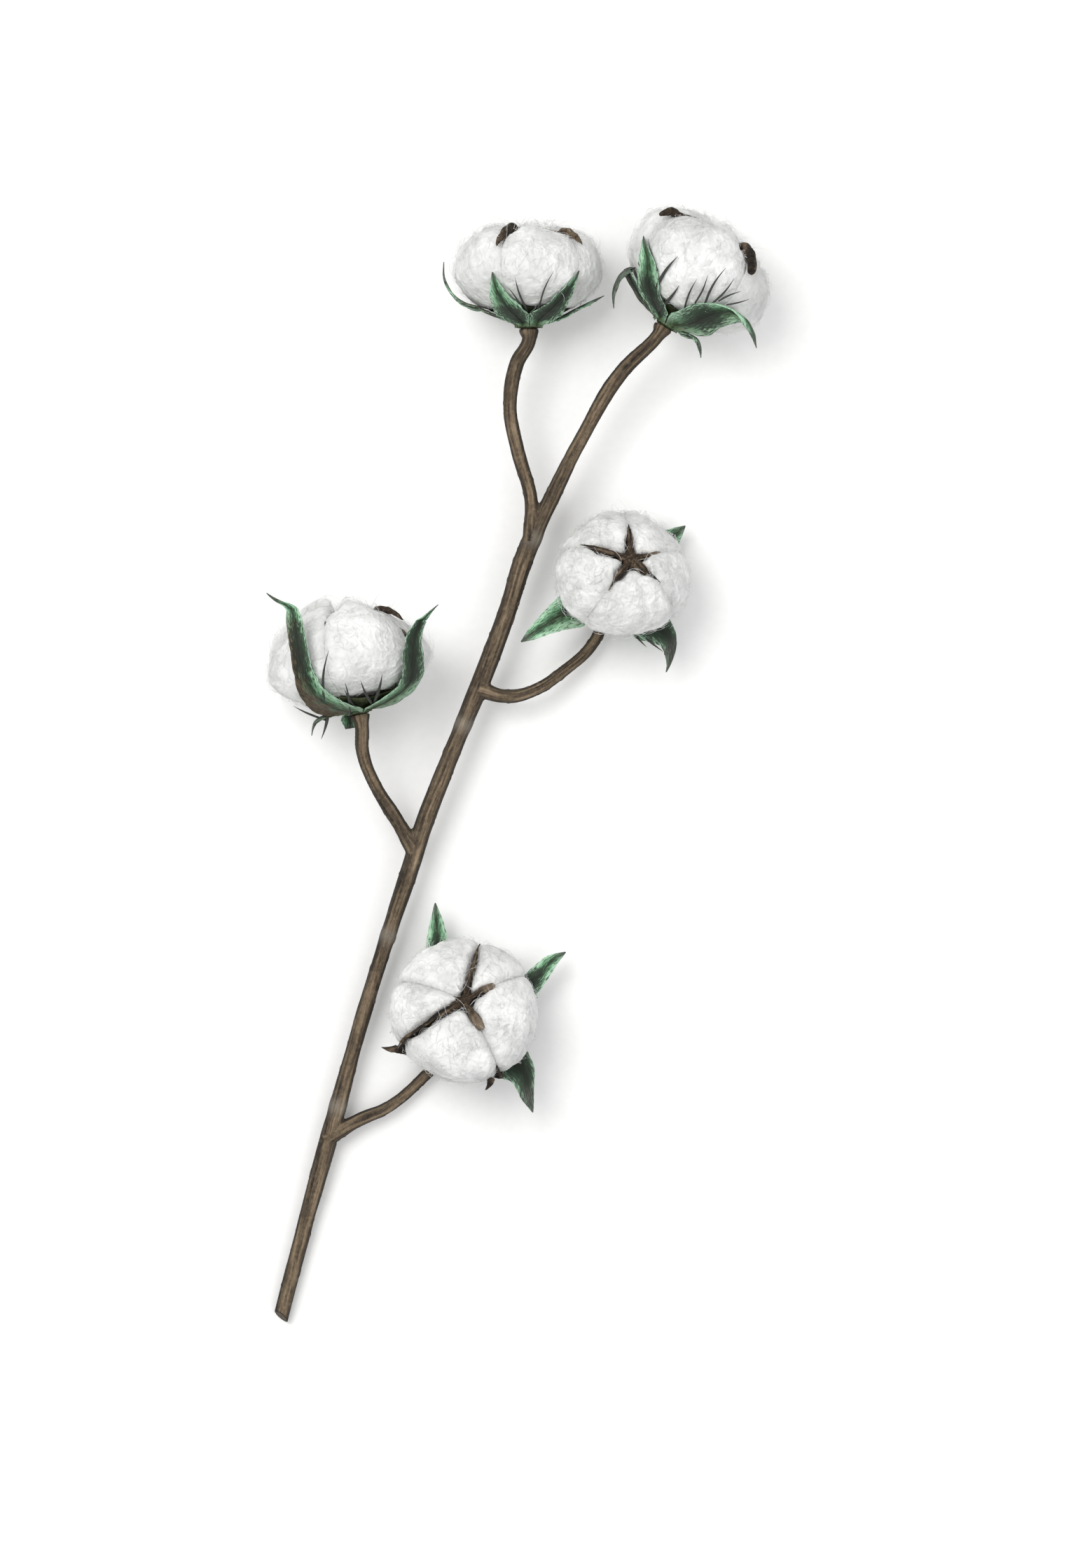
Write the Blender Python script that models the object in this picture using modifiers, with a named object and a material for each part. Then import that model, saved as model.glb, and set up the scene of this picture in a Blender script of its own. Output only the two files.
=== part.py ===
"""A cut stem of open cotton, lying on a table.

One woody stem with four side stalks carries five open bolls. Each boll is a
woody burr (a bowl that ends in pointed valves, with a thin wall, or septum,
between every two locks), four or five puffy locks of lint, and the green
bracts round its foot. Three bolls and the cut end of the stem hold it up.

Units are metres. +Z is up, the stem runs along +Y, and the origin is the
middle of the model's footprint, on the table.
"""
import math

import bmesh
import bpy
from mathutils import Vector

MM = 0.001
MIDDLE = Vector((-1.8, -0.5, 0.0))   # of the footprint, in the terms of the lists below

# ---- driving dimensions, in millimetres ------------------------------------
JOINT_GAP = 0.3          # left between two pieces that touch
SEPTUM_THICK = 1.0       # wall of the burr between two locks
SEPTUM_CLEAR = 0.35      # between that wall and the lint beside it
SEPTUM_INNER = 1.15      # where a septum starts, inside the centre post
POST_FOOT = 2.0          # radius of the post that the septa meet in
POST_TOP = 1.7
BOWL_OFFSET = 1.6        # from the lint to the inside of the bowl
BOWL_THICK = 1.0
BOWL_ROWS = 4
TABLE_CLEAR = 0.5        # the burr stays this far above the table
# a valve's outline: (share of the way to the next valve, share of its height)
VALVE_SHAPE = ((0.15, 0.66), (0.33, 0.22), (0.5, 0.0), (0.67, 0.22), (0.85, 0.66))
NECK_FOOT = 3.4          # radius of the burr where it meets its stalk
NECK_TOP = 5.4
BRACT_OFFSET = 3.2       # from the lint to the inside of a bract
BRACT_THICK = 0.7
BRACT_SPACE = 3.0        # degrees left free between neighbouring bracts
LOCK_HEART = 0.5         # a lock's own centre, as a share of the boll's radius
LOCK_ROUNDING = 6.0      # how sharply a lock's faces run into each other
VALVE_TOP = 60.0         # polar angle of a valve's tip, from the boll's foot
TIP_TOP = 92.0           # and of the few valves that lean out past the lint
VALLEY_TOP = 28.0        # polar angle of the bowl's rim between two valves
CREST_DEPTH = 0.70       # top of a septum, as a share of the lint's height

# ---- the five bolls ---------------------------------------------------------
# foot: where the stalk ends; axis: from the foot through the boll's middle;
# middle: height of the widest plane above the foot; radius, above and below:
# half-axes of the lint; gaps: azimuths of the septa, degrees;
# swell: each lock's share of the full size; flare: the valves that lean out
# past the lint, and how far;
# bracts: (azimuth, [(turn, radius, height, half width), ...] foot to tip).
BOLLS = [
    dict(
        foot=(2.4, 175.2, 24.6), axis=(0.0, 1.0, 0.0),
        middle=27.2, radius=28.6, above=14.6, below=20.4,
        gaps=(-113, -46, 19, 92, 163), swell=(1.0, 1.0, 0.98, 0.98, 1.0),
        flare={},
        bracts=[
            (176, [(0, 5.5, 2.6, 5.0), (0, 11, 5.4, 9), (0, 18, 8.4, 9.5), (0, 25, 10.4, 8),
                   (0, 30.5, 14.5, 5), (0, 33.6, 20.5, 2.4), (0, 34, 27, 0.25)]),
            (-118, [(0, 5.5, 2.6, 5.0), (0, 12.6, 5.6, 8), (0, 20.3, 10, 5.6),
                    (0, 26, 15, 2.8), (0, 29.6, 20.6, 0.25)]),
            (-58, [(0, 5.5, 2.6, 5.0), (-2, 12, 5.4, 8), (0, 19, 9.6, 5.2),
                   (3, 25.5, 14.5, 2.8), (8, 30, 21.4, 0.25)]),
            (14, [(0, 5.5, 2.6, 5.0), (0, 12, 4.6, 8), (0, 20, 8.6, 7.5),
                  (0, 25.5, 11.6, 4), (0, 31, 14, 0.25)]),
        ],
    ),
    dict(
        foot=(56.3, 175.8, 29.4), axis=(0.55, 0.835, 0.0),
        middle=30.2, radius=31.0, above=17.0, below=24.0,
        gaps=(-138, -57, 35, 125), swell=(1.0, 0.97, 1.0, 0.98),
        flare={},
        bracts=[
            (-170, [(0, 5.5, 2.6, 5.0), (0, 9, 4.2, 8), (0, 15, 7.4, 8), (0, 20.6, 11.6, 7),
                    (0, 24.4, 12, 5.4), (0, 26.4, 7, 4.4), (0, 25, 0, 3), (0, 21, -5.4, 0.25)]),
            (-127, [(0, 5.5, 2.6, 5.0), (0, 13, 6, 8), (0, 21.5, 11, 6.5), (-2, 29, 17.6, 4.5),
                    (-14, 32.6, 24, 0.25)]),
            (-58, [(0, 5.5, 2.6, 5.0), (0, 14, 6.4, 9), (-2, 24, 12.2, 8.4), (4, 30, 17.4, 7.4),
                   (14, 34.5, 18.8, 5.8), (22, 38, 16, 3.4), (29, 41, 11.6, 0.25)]),
            (4, [(0, 5.5, 2.6, 5.0), (0, 10, 3.2, 6.5), (0, 14, 3.4, 5.5), (0, 17, 1.4, 3.4),
                 (0, 19.4, -2.2, 0.25)]),
        ],
    ),
    dict(
        foot=(33.4, 69.8, 14.0), axis=(0.275, 0.355, 0.894),
        middle=24.0, radius=27.4, above=14.0, below=18.5,
        gaps=(21, 93, 166, 236, 323), swell=(0.92, 0.86, 0.98, 0.91, 1.0),
        flare={323: 1.0},
        bracts=[
            (43, [(0, 5.5, 2.6, 5.0), (0, 14, 4.4, 8), (0, 24, 8.6, 7), (0, 32, 11.6, 4.6),
                  (0, 40, 14, 0.25)]),
            (216, [(0, 5.5, 2.6, 5.0), (0, 14, 4.6, 8), (0, 24, 8, 7), (0, 33, 8, 4.6),
                   (0, 40, 5, 2.6), (0, 44.6, 2, 0.25)]),
            (314, [(0, 5.5, 2.6, 5.0), (2, 14, 4.6, 9), (5, 23, 8, 8.6), (6, 30, 8.6, 5.4),
                   (1, 36, 7, 3.2), (-8, 40.8, 3.6, 0.25)]),
        ],
    ),
    dict(
        foot=(-65.1, 21.0, 28.6), axis=(-0.18, 0.984, 0.0),
        middle=27.0, radius=33.4, above=24.0, below=22.0,
        gaps=(-106, -35, 30, 98, 170), swell=(0.93, 1.0, 0.93, 0.96, 1.0),
        flare={},
        bracts=[
            (-122, [(0, 5.5, 2.6, 5.0), (0, 13, 4.8, 9), (-1, 24, 10.6, 7), (2, 32.6, 20.4, 4.6),
                    (3, 33.4, 30, 3.9), (-2, 29.4, 39.6, 3.6), (-12, 27, 46.4, 2.8),
                    (-19, 30, 50, 1.6), (-22, 33.4, 53.6, 0.25)]),
            (-38, [(0, 5.5, 2.6, 5.0), (4, 14, 4.4, 9), (7, 23, 9.4, 8), (-4, 30.4, 16.8, 6),
                   (-6, 34, 25.2, 4.6), (4, 35, 31, 3.6), (10, 38, 34, 2.2), (14, 42.4, 37, 0.25)]),
            (180, [(0, 5.5, 2.4, 4.6), (0, 10, 2.6, 6), (0, 15, 2.2, 5), (0, 18.8, 0.2, 3.2),
                   (0, 20.6, -4.8, 0.25)]),
            (118, [(0, 5.5, 2.2, 4.6), (0, 8.6, 1.6, 5.4), (0, 10.6, -0.8, 4.6), (0, 11.4, -4.6, 2.2)]),
        ],
    ),
    dict(
        foot=(-24.2, -104.6, 11.0), axis=(0.03, 0.34, 0.94),
        middle=24.0, radius=29.0, above=14.0, below=18.5,
        gaps=(30, 77, 157, 211, 299), swell=(1.0, 1.0, 1.0, 0.98, 1.0),
        flare={211: 4.5, 299: 2.0},
        bracts=[
            (114, [(0, 5.5, 2.6, 5.0), (0, 14, 4.8, 8), (0, 24, 9.6, 7), (-4, 31, 12.6, 5),
                   (-8, 40, 16, 3), (-10, 48, 18, 0.25)]),
            (26, [(0, 5.5, 2.6, 5.0), (0, 14, 4.6, 7), (0, 25, 9.4, 6), (4, 33, 12, 4.6),
                  (8, 42, 13.6, 3), (8, 49.4, 14, 0.25)]),
            (319, [(0, 5.5, 2.6, 5.0), (0, 13, 4.4, 9), (0, 22.5, 7.8, 8.5), (0, 32, 8.4, 6.4),
                   (-8, 40, 7, 3.2), (-12, 46.6, 6, 0.25)]),
        ],
    ),
]

# ---- the stem and its stalks: (x, y, z, radius), millimetres ----------------
MAIN_STEM = [
    (-99.5, -229, 3.4, 3.1), (-88.7, -187.2, 5.5, 3.2), (-79.8, -155, 7.3, 3.6),
    (-73.1, -131.4, 8.8, 3.4), (-66.7, -107.9, 10.0, 3.1), (-55.6, -71.7, 12.0, 3.1),
    (-45.3, -40.5, 13.8, 3.6), (-39.9, -23.3, 14.8, 3.8), (-27.4, 8.7, 16.2, 3.4),
    (-16.2, 35.9, 17.5, 3.8), (-6.1, 63.0, 18.8, 3.6), (1.9, 87.5, 20.0, 3.9),
    (9.6, 104, 21.0, 3.3), (23.0, 130.5, 23.4, 2.8), (38.8, 156.9, 26.6, 3.0),
]
STALKS = {
    1: [(3.0, 91.0, 20.2, 3.2), (3.2, 107.4, 21.2, 2.8), (-2.2, 127.2, 22.4, 2.7), (-5.1, 143.7, 23.0, 2.7),
        (-2.6, 161.0, 24.0, 2.9)],
    3: [(-16.6, 31.0, 17.4, 3.2), (-7.4, 28.4, 16.5, 2.8), (4.0, 30.6, 14.8, 2.4), (16.7, 38.9, 11.4, 2.3),
        (27.9, 49.4, 8.0, 2.3), (32.0, 58.5, 6.4, 2.4)],
    4: [(-43.5, -34.0, 14.2, 3.4), (-50.1, -22.3, 15.8, 2.9), (-59.2, -7.1, 20.4, 2.6),
        (-64.0, 6.0, 25.2, 2.6)],
    5: [(-78.0, -149.0, 7.8, 3.2), (-67.0, -142.6, 7.4, 2.8), (-53.3, -136.3, 6.3, 2.4),
        (-39.5, -124.4, 5.2, 2.3), (-28.5, -112.5, 4.6, 2.4)],
}
STALK_SWELL = (2.8, 4.0)     # stalk's radius 4.5 mm short of the burr, and at it
TUBE_STEPS = 3
TUBE_SIDES = 2               # bevel resolution: 8 sides
CUT_POINT = (-97.6, -221.6, 3.4)
CUT_FACING = (-0.62, -0.78, 0.38)

LINT = ("cotton_lint", (0.90, 0.90, 0.88, 1.0), 0.95)
BURR = ("burr_brown", (0.16, 0.10, 0.06, 1.0), 0.80)
BRACT = ("bract_green", (0.10, 0.33, 0.19, 1.0), 0.65)
BARK = ("stem_bark", (0.24, 0.18, 0.12, 1.0), 0.80)


# ---- helpers ----------------------------------------------------------------
def material(name, colour, roughness):
    """One Principled material."""
    found = bpy.data.materials.get(name)
    if found:
        return found
    made = bpy.data.materials.new(name)
    made.use_nodes = True
    shader = made.node_tree.nodes["Principled BSDF"]
    shader.inputs["Base Color"].default_value = colour
    shader.inputs["Roughness"].default_value = roughness
    shader.inputs["Metallic"].default_value = 0.0
    return made


def add_object(name, mesh, collection, finish=None):
    """Link a mesh into the scene under its own name."""
    made = bpy.data.objects.new(name, mesh)
    collection.objects.link(made)
    if finish:
        mesh.materials.clear()
        mesh.materials.append(material(*finish))
        mesh.shade_smooth()
        mesh.set_sharp_from_angle(angle=math.radians(50))
    return made


def finished_mesh(source):
    """The mesh of an object with its modifiers applied."""
    graph = bpy.context.evaluated_depsgraph_get()
    return bpy.data.meshes.new_from_object(source.evaluated_get(graph))


def join_bodies(name, bodies, collection, finish):
    """One closed body from several that run into each other."""
    base = bodies[0]
    for other in bodies[1:]:
        step = base.modifiers.new("join", "BOOLEAN")
        step.operation = "UNION"
        step.solver = "EXACT"
        step.object = other
    joined = add_object(name, finished_mesh(base), collection, finish)
    for body in bodies:
        bpy.data.objects.remove(body)
    return joined


class Boll:
    """A boll's own directions and the ellipsoid that its lint fills."""

    def __init__(self, data):
        self.foot = Vector(data["foot"]) - MIDDLE
        self.up = Vector(data["axis"]).normalized()
        self.out = (Vector((1, 0, 0)) - self.up * self.up.x).normalized()
        self.side = self.up.cross(self.out)
        self.middle = data["middle"]
        self.radius = data["radius"]
        self.above = data["above"]
        self.below = data["below"]
        self.gaps = data["gaps"]
        self.swell = data["swell"]
        self.flare = data["flare"]
        self.bracts = data["bracts"]

    def direction(self, azimuth):
        turn = math.radians(azimuth)
        return self.out * math.cos(turn) + self.side * math.sin(turn)

    def place(self, radius, azimuth, height):
        """World position, in metres, of a point in the boll's own terms."""
        return (self.foot + self.up * height + self.direction(azimuth) * radius) * MM

    def room_below(self, azimuth):
        """How far from the axis the table is, in this direction."""
        fall = -self.direction(azimuth).z
        return self.foot.z / fall if fall > 0.5 else math.inf

    def half_height(self, height):
        return self.above if height > self.middle else self.below

    def pushed_out(self, radius, height, offset):
        """The point itself, or the nearest one clear of the lint by an offset."""
        rise = height - self.middle
        share = math.hypot(radius / (self.radius + offset),
                           rise / (self.half_height(height) + offset))
        if share >= 1.0:
            return radius, height
        return radius / share, self.middle + rise / share


# ---- lint -------------------------------------------------------------------
def lock_reach(boll, towards, heart, half, size):
    """How far the lint reaches from a lock's heart.

    towards holds the direction's parts along the lock's middle, across it and
    up. The reach is a soft least of the boll's ellipsoid and the two septa.
    """
    along, across, rise = towards
    radius = boll.radius * size
    height = (boll.above if rise > 0 else boll.below) * size
    square = (along ** 2 + across ** 2) / radius ** 2 + (rise / height) ** 2
    slope = heart * along / radius ** 2
    rest = (heart / radius) ** 2 - 1.0
    reach = (-slope + math.sqrt(slope ** 2 - square * rest)) / square
    nearness = (1.0 / reach) ** LOCK_ROUNDING
    wall = SEPTUM_THICK / 2 + SEPTUM_CLEAR
    distance = heart * math.sin(half) - wall
    for way in (1.0, -1.0):
        facing = way * across * math.cos(half) - along * math.sin(half)
        if facing > 0:
            nearness += (facing / distance) ** LOCK_ROUNDING
    return nearness ** (-1.0 / LOCK_ROUNDING)


def flatten_on_table(ball):
    """Cut off what would sink into the table, and close the flat spot."""
    lowest = min(vert.co.z for vert in ball.verts)
    if lowest >= 0:
        return
    everything = ball.verts[:] + ball.edges[:] + ball.faces[:]
    cut = bmesh.ops.bisect_plane(ball, geom=everything, dist=1e-7, plane_co=(0, 0, 0),
                                 plane_no=(0, 0, -1), clear_outer=True)
    rim = [item for item in cut["geom_cut"] if isinstance(item, bmesh.types.BMEdge)]
    bmesh.ops.holes_fill(ball, edges=rim, sides=0)


def make_lock(name, boll, start, end, size, collection):
    """One puffy lock between the septa at two azimuths, flat where it lies."""
    half = math.radians(end - start) / 2
    centre_azimuth = (start + end) / 2
    along = boll.direction(centre_azimuth)
    across = boll.direction(centre_azimuth + 90)
    heart = LOCK_HEART * boll.radius
    heart_at = boll.foot + boll.up * boll.middle + along * heart
    ball = bmesh.new()
    bmesh.ops.create_uvsphere(ball, u_segments=12, v_segments=8, radius=1.0)
    for vert in ball.verts:
        ray = vert.co.normalized()
        world = boll.out * ray.x + boll.side * ray.y + boll.up * ray.z
        parts = (world.dot(along), world.dot(across), ray.z)
        reach = lock_reach(boll, parts, heart, half, size)
        vert.co = (heart_at + world * reach) * MM
    flatten_on_table(ball)
    bmesh.ops.triangulate(ball, faces=ball.faces[:])
    bmesh.ops.recalc_face_normals(ball, faces=ball.faces[:])
    mesh = bpy.data.meshes.new(name)
    ball.to_mesh(mesh)
    ball.free()
    return add_object(name, mesh, collection, LINT)


# ---- burr -------------------------------------------------------------------
def bowl_point(boll, polar, lean=0.0):
    """A point of the bowl's inside; polar runs from the foot of the boll."""
    angle = math.radians(polar)
    radius = (boll.radius + BOWL_OFFSET) * math.sin(angle) + lean * (polar / TIP_TOP) ** 6
    height = boll.middle - (boll.below + BOWL_OFFSET) * math.cos(angle)
    return radius, height


def clear_polar(boll, azimuth, polar):
    """The polar angle itself, or a lower one that keeps the wall off the table."""
    lean = boll.flare.get(azimuth, 0.0)
    while polar > VALLEY_TOP:
        radius, height = bowl_point(boll, polar, lean)
        if boll.place(radius + BOWL_THICK, azimuth, height).z > TABLE_CLEAR * MM:
            break
        polar -= 1.0
    return polar


def valve_top(boll, azimuth):
    """Polar angle that the valve at a gap reaches."""
    return clear_polar(boll, azimuth, TIP_TOP if azimuth in boll.flare else VALVE_TOP)


def valve_columns(boll):
    """(azimuth, rim, lean) round the bowl: high at a gap, low between two."""
    columns = []
    count = len(boll.gaps)
    for index, start in enumerate(boll.gaps):
        following = boll.gaps[(index + 1) % count]
        span = (following - start) % 360
        tops = (valve_top(boll, start), valve_top(boll, following))
        columns.append((start, tops[0], boll.flare.get(start, 0.0)))
        for share, rise in VALVE_SHAPE:
            azimuth = start + span * share
            top = tops[0] if share < 0.5 else tops[1]
            rim = clear_polar(boll, azimuth, VALLEY_TOP + (top - VALLEY_TOP) * rise)
            columns.append((azimuth, rim, 0.0))
    return columns


def make_bowl(boll, collection):
    """The burr's wall: an open, many-pointed bowl, thickened outwards."""
    sheet = bmesh.new()
    foot = sheet.verts.new(boll.place(0, 0, bowl_point(boll, 0)[1]))
    rings = []
    for azimuth, rim, lean in valve_columns(boll):
        column = []
        for row in range(1, BOWL_ROWS + 1):
            radius, height = bowl_point(boll, rim * row / BOWL_ROWS, lean)
            column.append(sheet.verts.new(boll.place(radius, azimuth, height)))
        rings.append(column)
    for index, column in enumerate(rings):
        following = rings[(index + 1) % len(rings)]
        sheet.faces.new((foot, following[0], column[0]))
        for row in range(BOWL_ROWS - 1):
            sheet.faces.new((column[row], following[row], following[row + 1], column[row + 1]))
    mesh = bpy.data.meshes.new("bowl")
    sheet.to_mesh(mesh)
    sheet.free()
    bowl = add_object("bowl", mesh, collection)
    wall = bowl.modifiers.new("wall", "SOLIDIFY")
    wall.thickness = BOWL_THICK * MM
    wall.offset = 1.0
    solid = add_object("bowl_wall", finished_mesh(bowl), collection)
    bpy.data.objects.remove(bowl)
    return solid


def make_septum(boll, azimuth, collection):
    """One radial wall: a flat plate from the boll's axis out into a valve."""
    lean = boll.flare.get(azimuth, 0.0)
    into_wall = BOWL_THICK / 2
    top = valve_top(boll, azimuth) - 6
    outline = [(SEPTUM_INNER, bowl_point(boll, 0)[1] - into_wall)]
    steps = 5
    for step in range(1, steps + 1):
        polar = top * step / steps
        radius, height = bowl_point(boll, polar, lean)
        turn = math.radians(polar)
        outline.append((radius + into_wall * math.sin(turn), height - into_wall * math.cos(turn)))
    reach = min(boll.radius * 0.93, boll.room_below(azimuth) - TABLE_CLEAR)
    for turn in (72, 52, 30, 12):
        angle = math.radians(turn)
        outline.append((reach * math.sin(angle),
                        boll.middle + boll.above * CREST_DEPTH * math.cos(angle)))
    outline.append((SEPTUM_INNER, boll.middle + boll.above * CREST_DEPTH * 0.95))
    plate = bmesh.new()
    corners = []
    shift = boll.direction(azimuth + 90) * (SEPTUM_THICK / 2 * MM)
    for radius, height in outline:
        corners.append(plate.verts.new(boll.place(radius, azimuth, height) - shift))
    face = plate.faces.new(corners)
    grown = bmesh.ops.extrude_face_region(plate, geom=[face])
    moved = [item for item in grown["geom"] if isinstance(item, bmesh.types.BMVert)]
    bmesh.ops.translate(plate, verts=moved, vec=shift * 2)
    bmesh.ops.recalc_face_normals(plate, faces=plate.faces[:])
    mesh = bpy.data.meshes.new("septum")
    plate.to_mesh(mesh)
    plate.free()
    return add_object("septum", mesh, collection)


def make_round(boll, low, high, low_radius, high_radius, sides, collection):
    """A round, tapering body on the boll's axis between two heights."""
    body = bmesh.new()
    bmesh.ops.create_cone(body, cap_ends=True, segments=sides, radius1=low_radius * MM,
                          radius2=high_radius * MM, depth=(high - low) * MM)
    turn = Vector((0, 0, 1)).rotation_difference(boll.up).to_matrix()
    bmesh.ops.rotate(body, verts=body.verts[:], cent=(0, 0, 0), matrix=turn)
    bmesh.ops.translate(body, verts=body.verts[:], vec=boll.place(0, 0, (low + high) / 2))
    mesh = bpy.data.meshes.new("round")
    body.to_mesh(mesh)
    body.free()
    return add_object("round", mesh, collection)


def make_burr(name, boll, parts, helpers):
    """Bowl, septa, centre post and neck, joined into one woody body."""
    floor = bowl_point(boll, 0)[1]
    post_top = boll.middle + boll.above * CREST_DEPTH * 1.02
    bodies = [make_bowl(boll, helpers)]
    bodies.append(make_round(boll, 0.0, floor - BOWL_THICK / 2, NECK_FOOT, NECK_TOP, 16, helpers))
    bodies.append(make_round(boll, floor - 0.4, post_top, POST_FOOT, POST_TOP, 12, helpers))
    for azimuth in boll.gaps:
        bodies.append(make_septum(boll, azimuth, helpers))
    return join_bodies(name, bodies, parts, BURR)


# ---- bracts -----------------------------------------------------------------
def along_points(points, place):
    """A smooth value at place, from 0 to 1, along a list of tuples."""
    spans = len(points) - 1
    span = min(int(place * spans), spans - 1)
    t = place * spans - span
    before = points[max(span - 1, 0)]
    start = points[span]
    end = points[span + 1]
    after = points[min(span + 2, spans)]
    value = []
    for a, b, c, d in zip(before, start, end, after):
        value.append(0.5 * (2 * b + (c - a) * t + (2 * a - 5 * b + 4 * c - d) * t * t
                            + (3 * b - a - 3 * c + d) * t ** 3))
    return value


def bract_room(boll, azimuth):
    """Degrees a bract may spread to either side before it meets the next."""
    others = [other for other, _ in boll.bracts if other % 360 != azimuth % 360]
    left = min((other - azimuth) % 360 for other in others)
    right = min((azimuth - other) % 360 for other in others)
    return left / 2 - BRACT_SPACE / 2, right / 2 - BRACT_SPACE / 2


def make_bract(name, boll, azimuth, spine, collection):
    """A pointed leaf wrapped round the boll's foot, thickened outwards."""
    rows = 2 * (len(spine) - 1)
    columns = 4
    room_left, room_right = bract_room(boll, azimuth)
    sheet = bmesh.new()
    grid = []
    for row in range(rows + 1):
        turn, radius, height, half_width = along_points(spine, row / rows)
        radius, height = boll.pushed_out(radius, height, BRACT_OFFSET)
        half_width = max(half_width, 0.2)
        spread = math.degrees(half_width / radius)
        line = []
        for column in range(columns + 1):
            share = 2 * column / columns - 1
            room = room_left if share > 0 else room_right
            swing = share * min(spread, room)
            line.append(sheet.verts.new(boll.place(radius, azimuth + turn + swing, height)))
        grid.append(line)
    for lower, upper in zip(grid, grid[1:]):
        for column in range(columns):
            sheet.faces.new((lower[column], lower[column + 1], upper[column + 1], upper[column]))
    mesh = bpy.data.meshes.new(name)
    sheet.to_mesh(mesh)
    sheet.free()
    leaf = add_object(name, mesh, collection, BRACT)
    wall = leaf.modifiers.new("thickness", "SOLIDIFY")
    wall.thickness = BRACT_THICK * MM
    wall.offset = 1.0
    return leaf


# ---- stem -------------------------------------------------------------------
def make_tube(name, points, collection):
    """A closed tube through (x, y, z, radius) points, as a mesh."""
    curve = bpy.data.curves.new(name, "CURVE")
    curve.dimensions = "3D"
    curve.bevel_depth = MM
    curve.bevel_resolution = TUBE_SIDES
    curve.resolution_u = TUBE_STEPS
    curve.use_fill_caps = True
    spline = curve.splines.new("BEZIER")
    spline.bezier_points.add(len(points) - 1)
    for knot, (x, y, z, radius) in zip(spline.bezier_points, points):
        knot.co = (Vector((x, y, z)) - MIDDLE) * MM
        knot.radius = radius
        knot.handle_left_type = "AUTO"
        knot.handle_right_type = "AUTO"
    route = bpy.data.objects.new(name, curve)
    collection.objects.link(route)
    mesh = finished_mesh(route)
    weld = bmesh.new()
    weld.from_mesh(mesh)
    bmesh.ops.remove_doubles(weld, verts=weld.verts[:], dist=0.00001)
    bmesh.ops.recalc_face_normals(weld, faces=weld.faces[:])
    weld.to_mesh(mesh)
    weld.free()
    tube = bpy.data.objects.new(name, mesh)
    collection.objects.link(tube)
    tube.matrix_world = route.matrix_world
    bpy.data.objects.remove(route)
    return tube


def stalk_end(boll):
    """The last two points of a stalk, in line with its boll and clear of it."""
    points = []
    for distance, radius in zip((4.5, JOINT_GAP), STALK_SWELL):
        point = boll.foot + MIDDLE - boll.up * distance
        points.append((point.x, point.y, point.z, radius))
    return points


def make_stem(bolls, parts, helpers):
    """The main stem, which ends at boll 2, with the four other stalks."""
    bodies = [make_tube("main_stem", MAIN_STEM + stalk_end(bolls[1]), helpers)]
    for number, points in STALKS.items():
        bodies.append(make_tube("stalk", points + stalk_end(bolls[number - 1]), helpers))
    whole = join_bodies("whole_stem", bodies, helpers, BARK)
    block = bmesh.new()
    size = 40 * MM
    bmesh.ops.create_cube(block, size=size)
    facing = Vector(CUT_FACING).normalized()
    turn = Vector((0, 0, 1)).rotation_difference(facing).to_matrix()
    bmesh.ops.rotate(block, verts=block.verts[:], cent=(0, 0, 0), matrix=turn)
    bmesh.ops.translate(block, verts=block.verts[:],
                        vec=(Vector(CUT_POINT) - MIDDLE) * MM + facing * (size / 2))
    mesh = bpy.data.meshes.new("cut_block")
    block.to_mesh(mesh)
    block.free()
    cutter = add_object("cut_block", mesh, helpers)
    cutter.hide_render = True
    cutter.display_type = "WIRE"
    cut = whole.modifiers.new("cut_end", "BOOLEAN")
    cut.operation = "DIFFERENCE"
    cut.solver = "EXACT"
    cut.object = cutter
    stem = add_object("stem", finished_mesh(whole), parts, BARK)
    bpy.data.objects.remove(whole)
    return stem


def main():
    for old in list(bpy.data.objects):
        bpy.data.objects.remove(old)
    parts = bpy.data.collections.new("cotton_stem")
    helpers = bpy.data.collections.new("cutters")
    bpy.context.scene.collection.children.link(parts)
    bpy.context.scene.collection.children.link(helpers)
    bolls = [Boll(data) for data in BOLLS]
    make_stem(bolls, parts, helpers)
    for number, boll in enumerate(bolls, start=1):
        make_burr(f"boll_{number}_burr", boll, parts, helpers)
        for index, (azimuth, spine) in enumerate(boll.bracts, start=1):
            make_bract(f"boll_{number}_bract_{index}", boll, azimuth, spine, parts)
        ends = boll.gaps[1:] + (boll.gaps[0] + 360,)
        for index, (start, end) in enumerate(zip(boll.gaps, ends)):
            make_lock(f"boll_{number}_lock_{index + 1}", boll, start, end, boll.swell[index], parts)


main()
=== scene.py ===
"""Looks of a cut cotton stem with five open bolls, lying on a pale table.

Shapes are worked out in millimetres with numpy and turned into metres when a
mesh is made. The boll and stem dimensions repeat those of the CAD part.
"""

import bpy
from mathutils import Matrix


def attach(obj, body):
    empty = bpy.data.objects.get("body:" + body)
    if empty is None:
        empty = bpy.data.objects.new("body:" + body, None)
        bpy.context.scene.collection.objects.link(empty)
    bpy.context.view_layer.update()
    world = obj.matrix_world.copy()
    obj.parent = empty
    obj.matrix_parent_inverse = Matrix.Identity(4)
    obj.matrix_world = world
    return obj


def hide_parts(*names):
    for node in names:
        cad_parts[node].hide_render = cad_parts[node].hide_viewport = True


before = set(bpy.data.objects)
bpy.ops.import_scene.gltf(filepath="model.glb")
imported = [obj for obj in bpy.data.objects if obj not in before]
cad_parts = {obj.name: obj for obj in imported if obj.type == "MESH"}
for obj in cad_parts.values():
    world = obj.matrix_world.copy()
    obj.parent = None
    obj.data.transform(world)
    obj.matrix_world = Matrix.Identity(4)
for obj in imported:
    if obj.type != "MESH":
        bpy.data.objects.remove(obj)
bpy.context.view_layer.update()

import math

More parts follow.
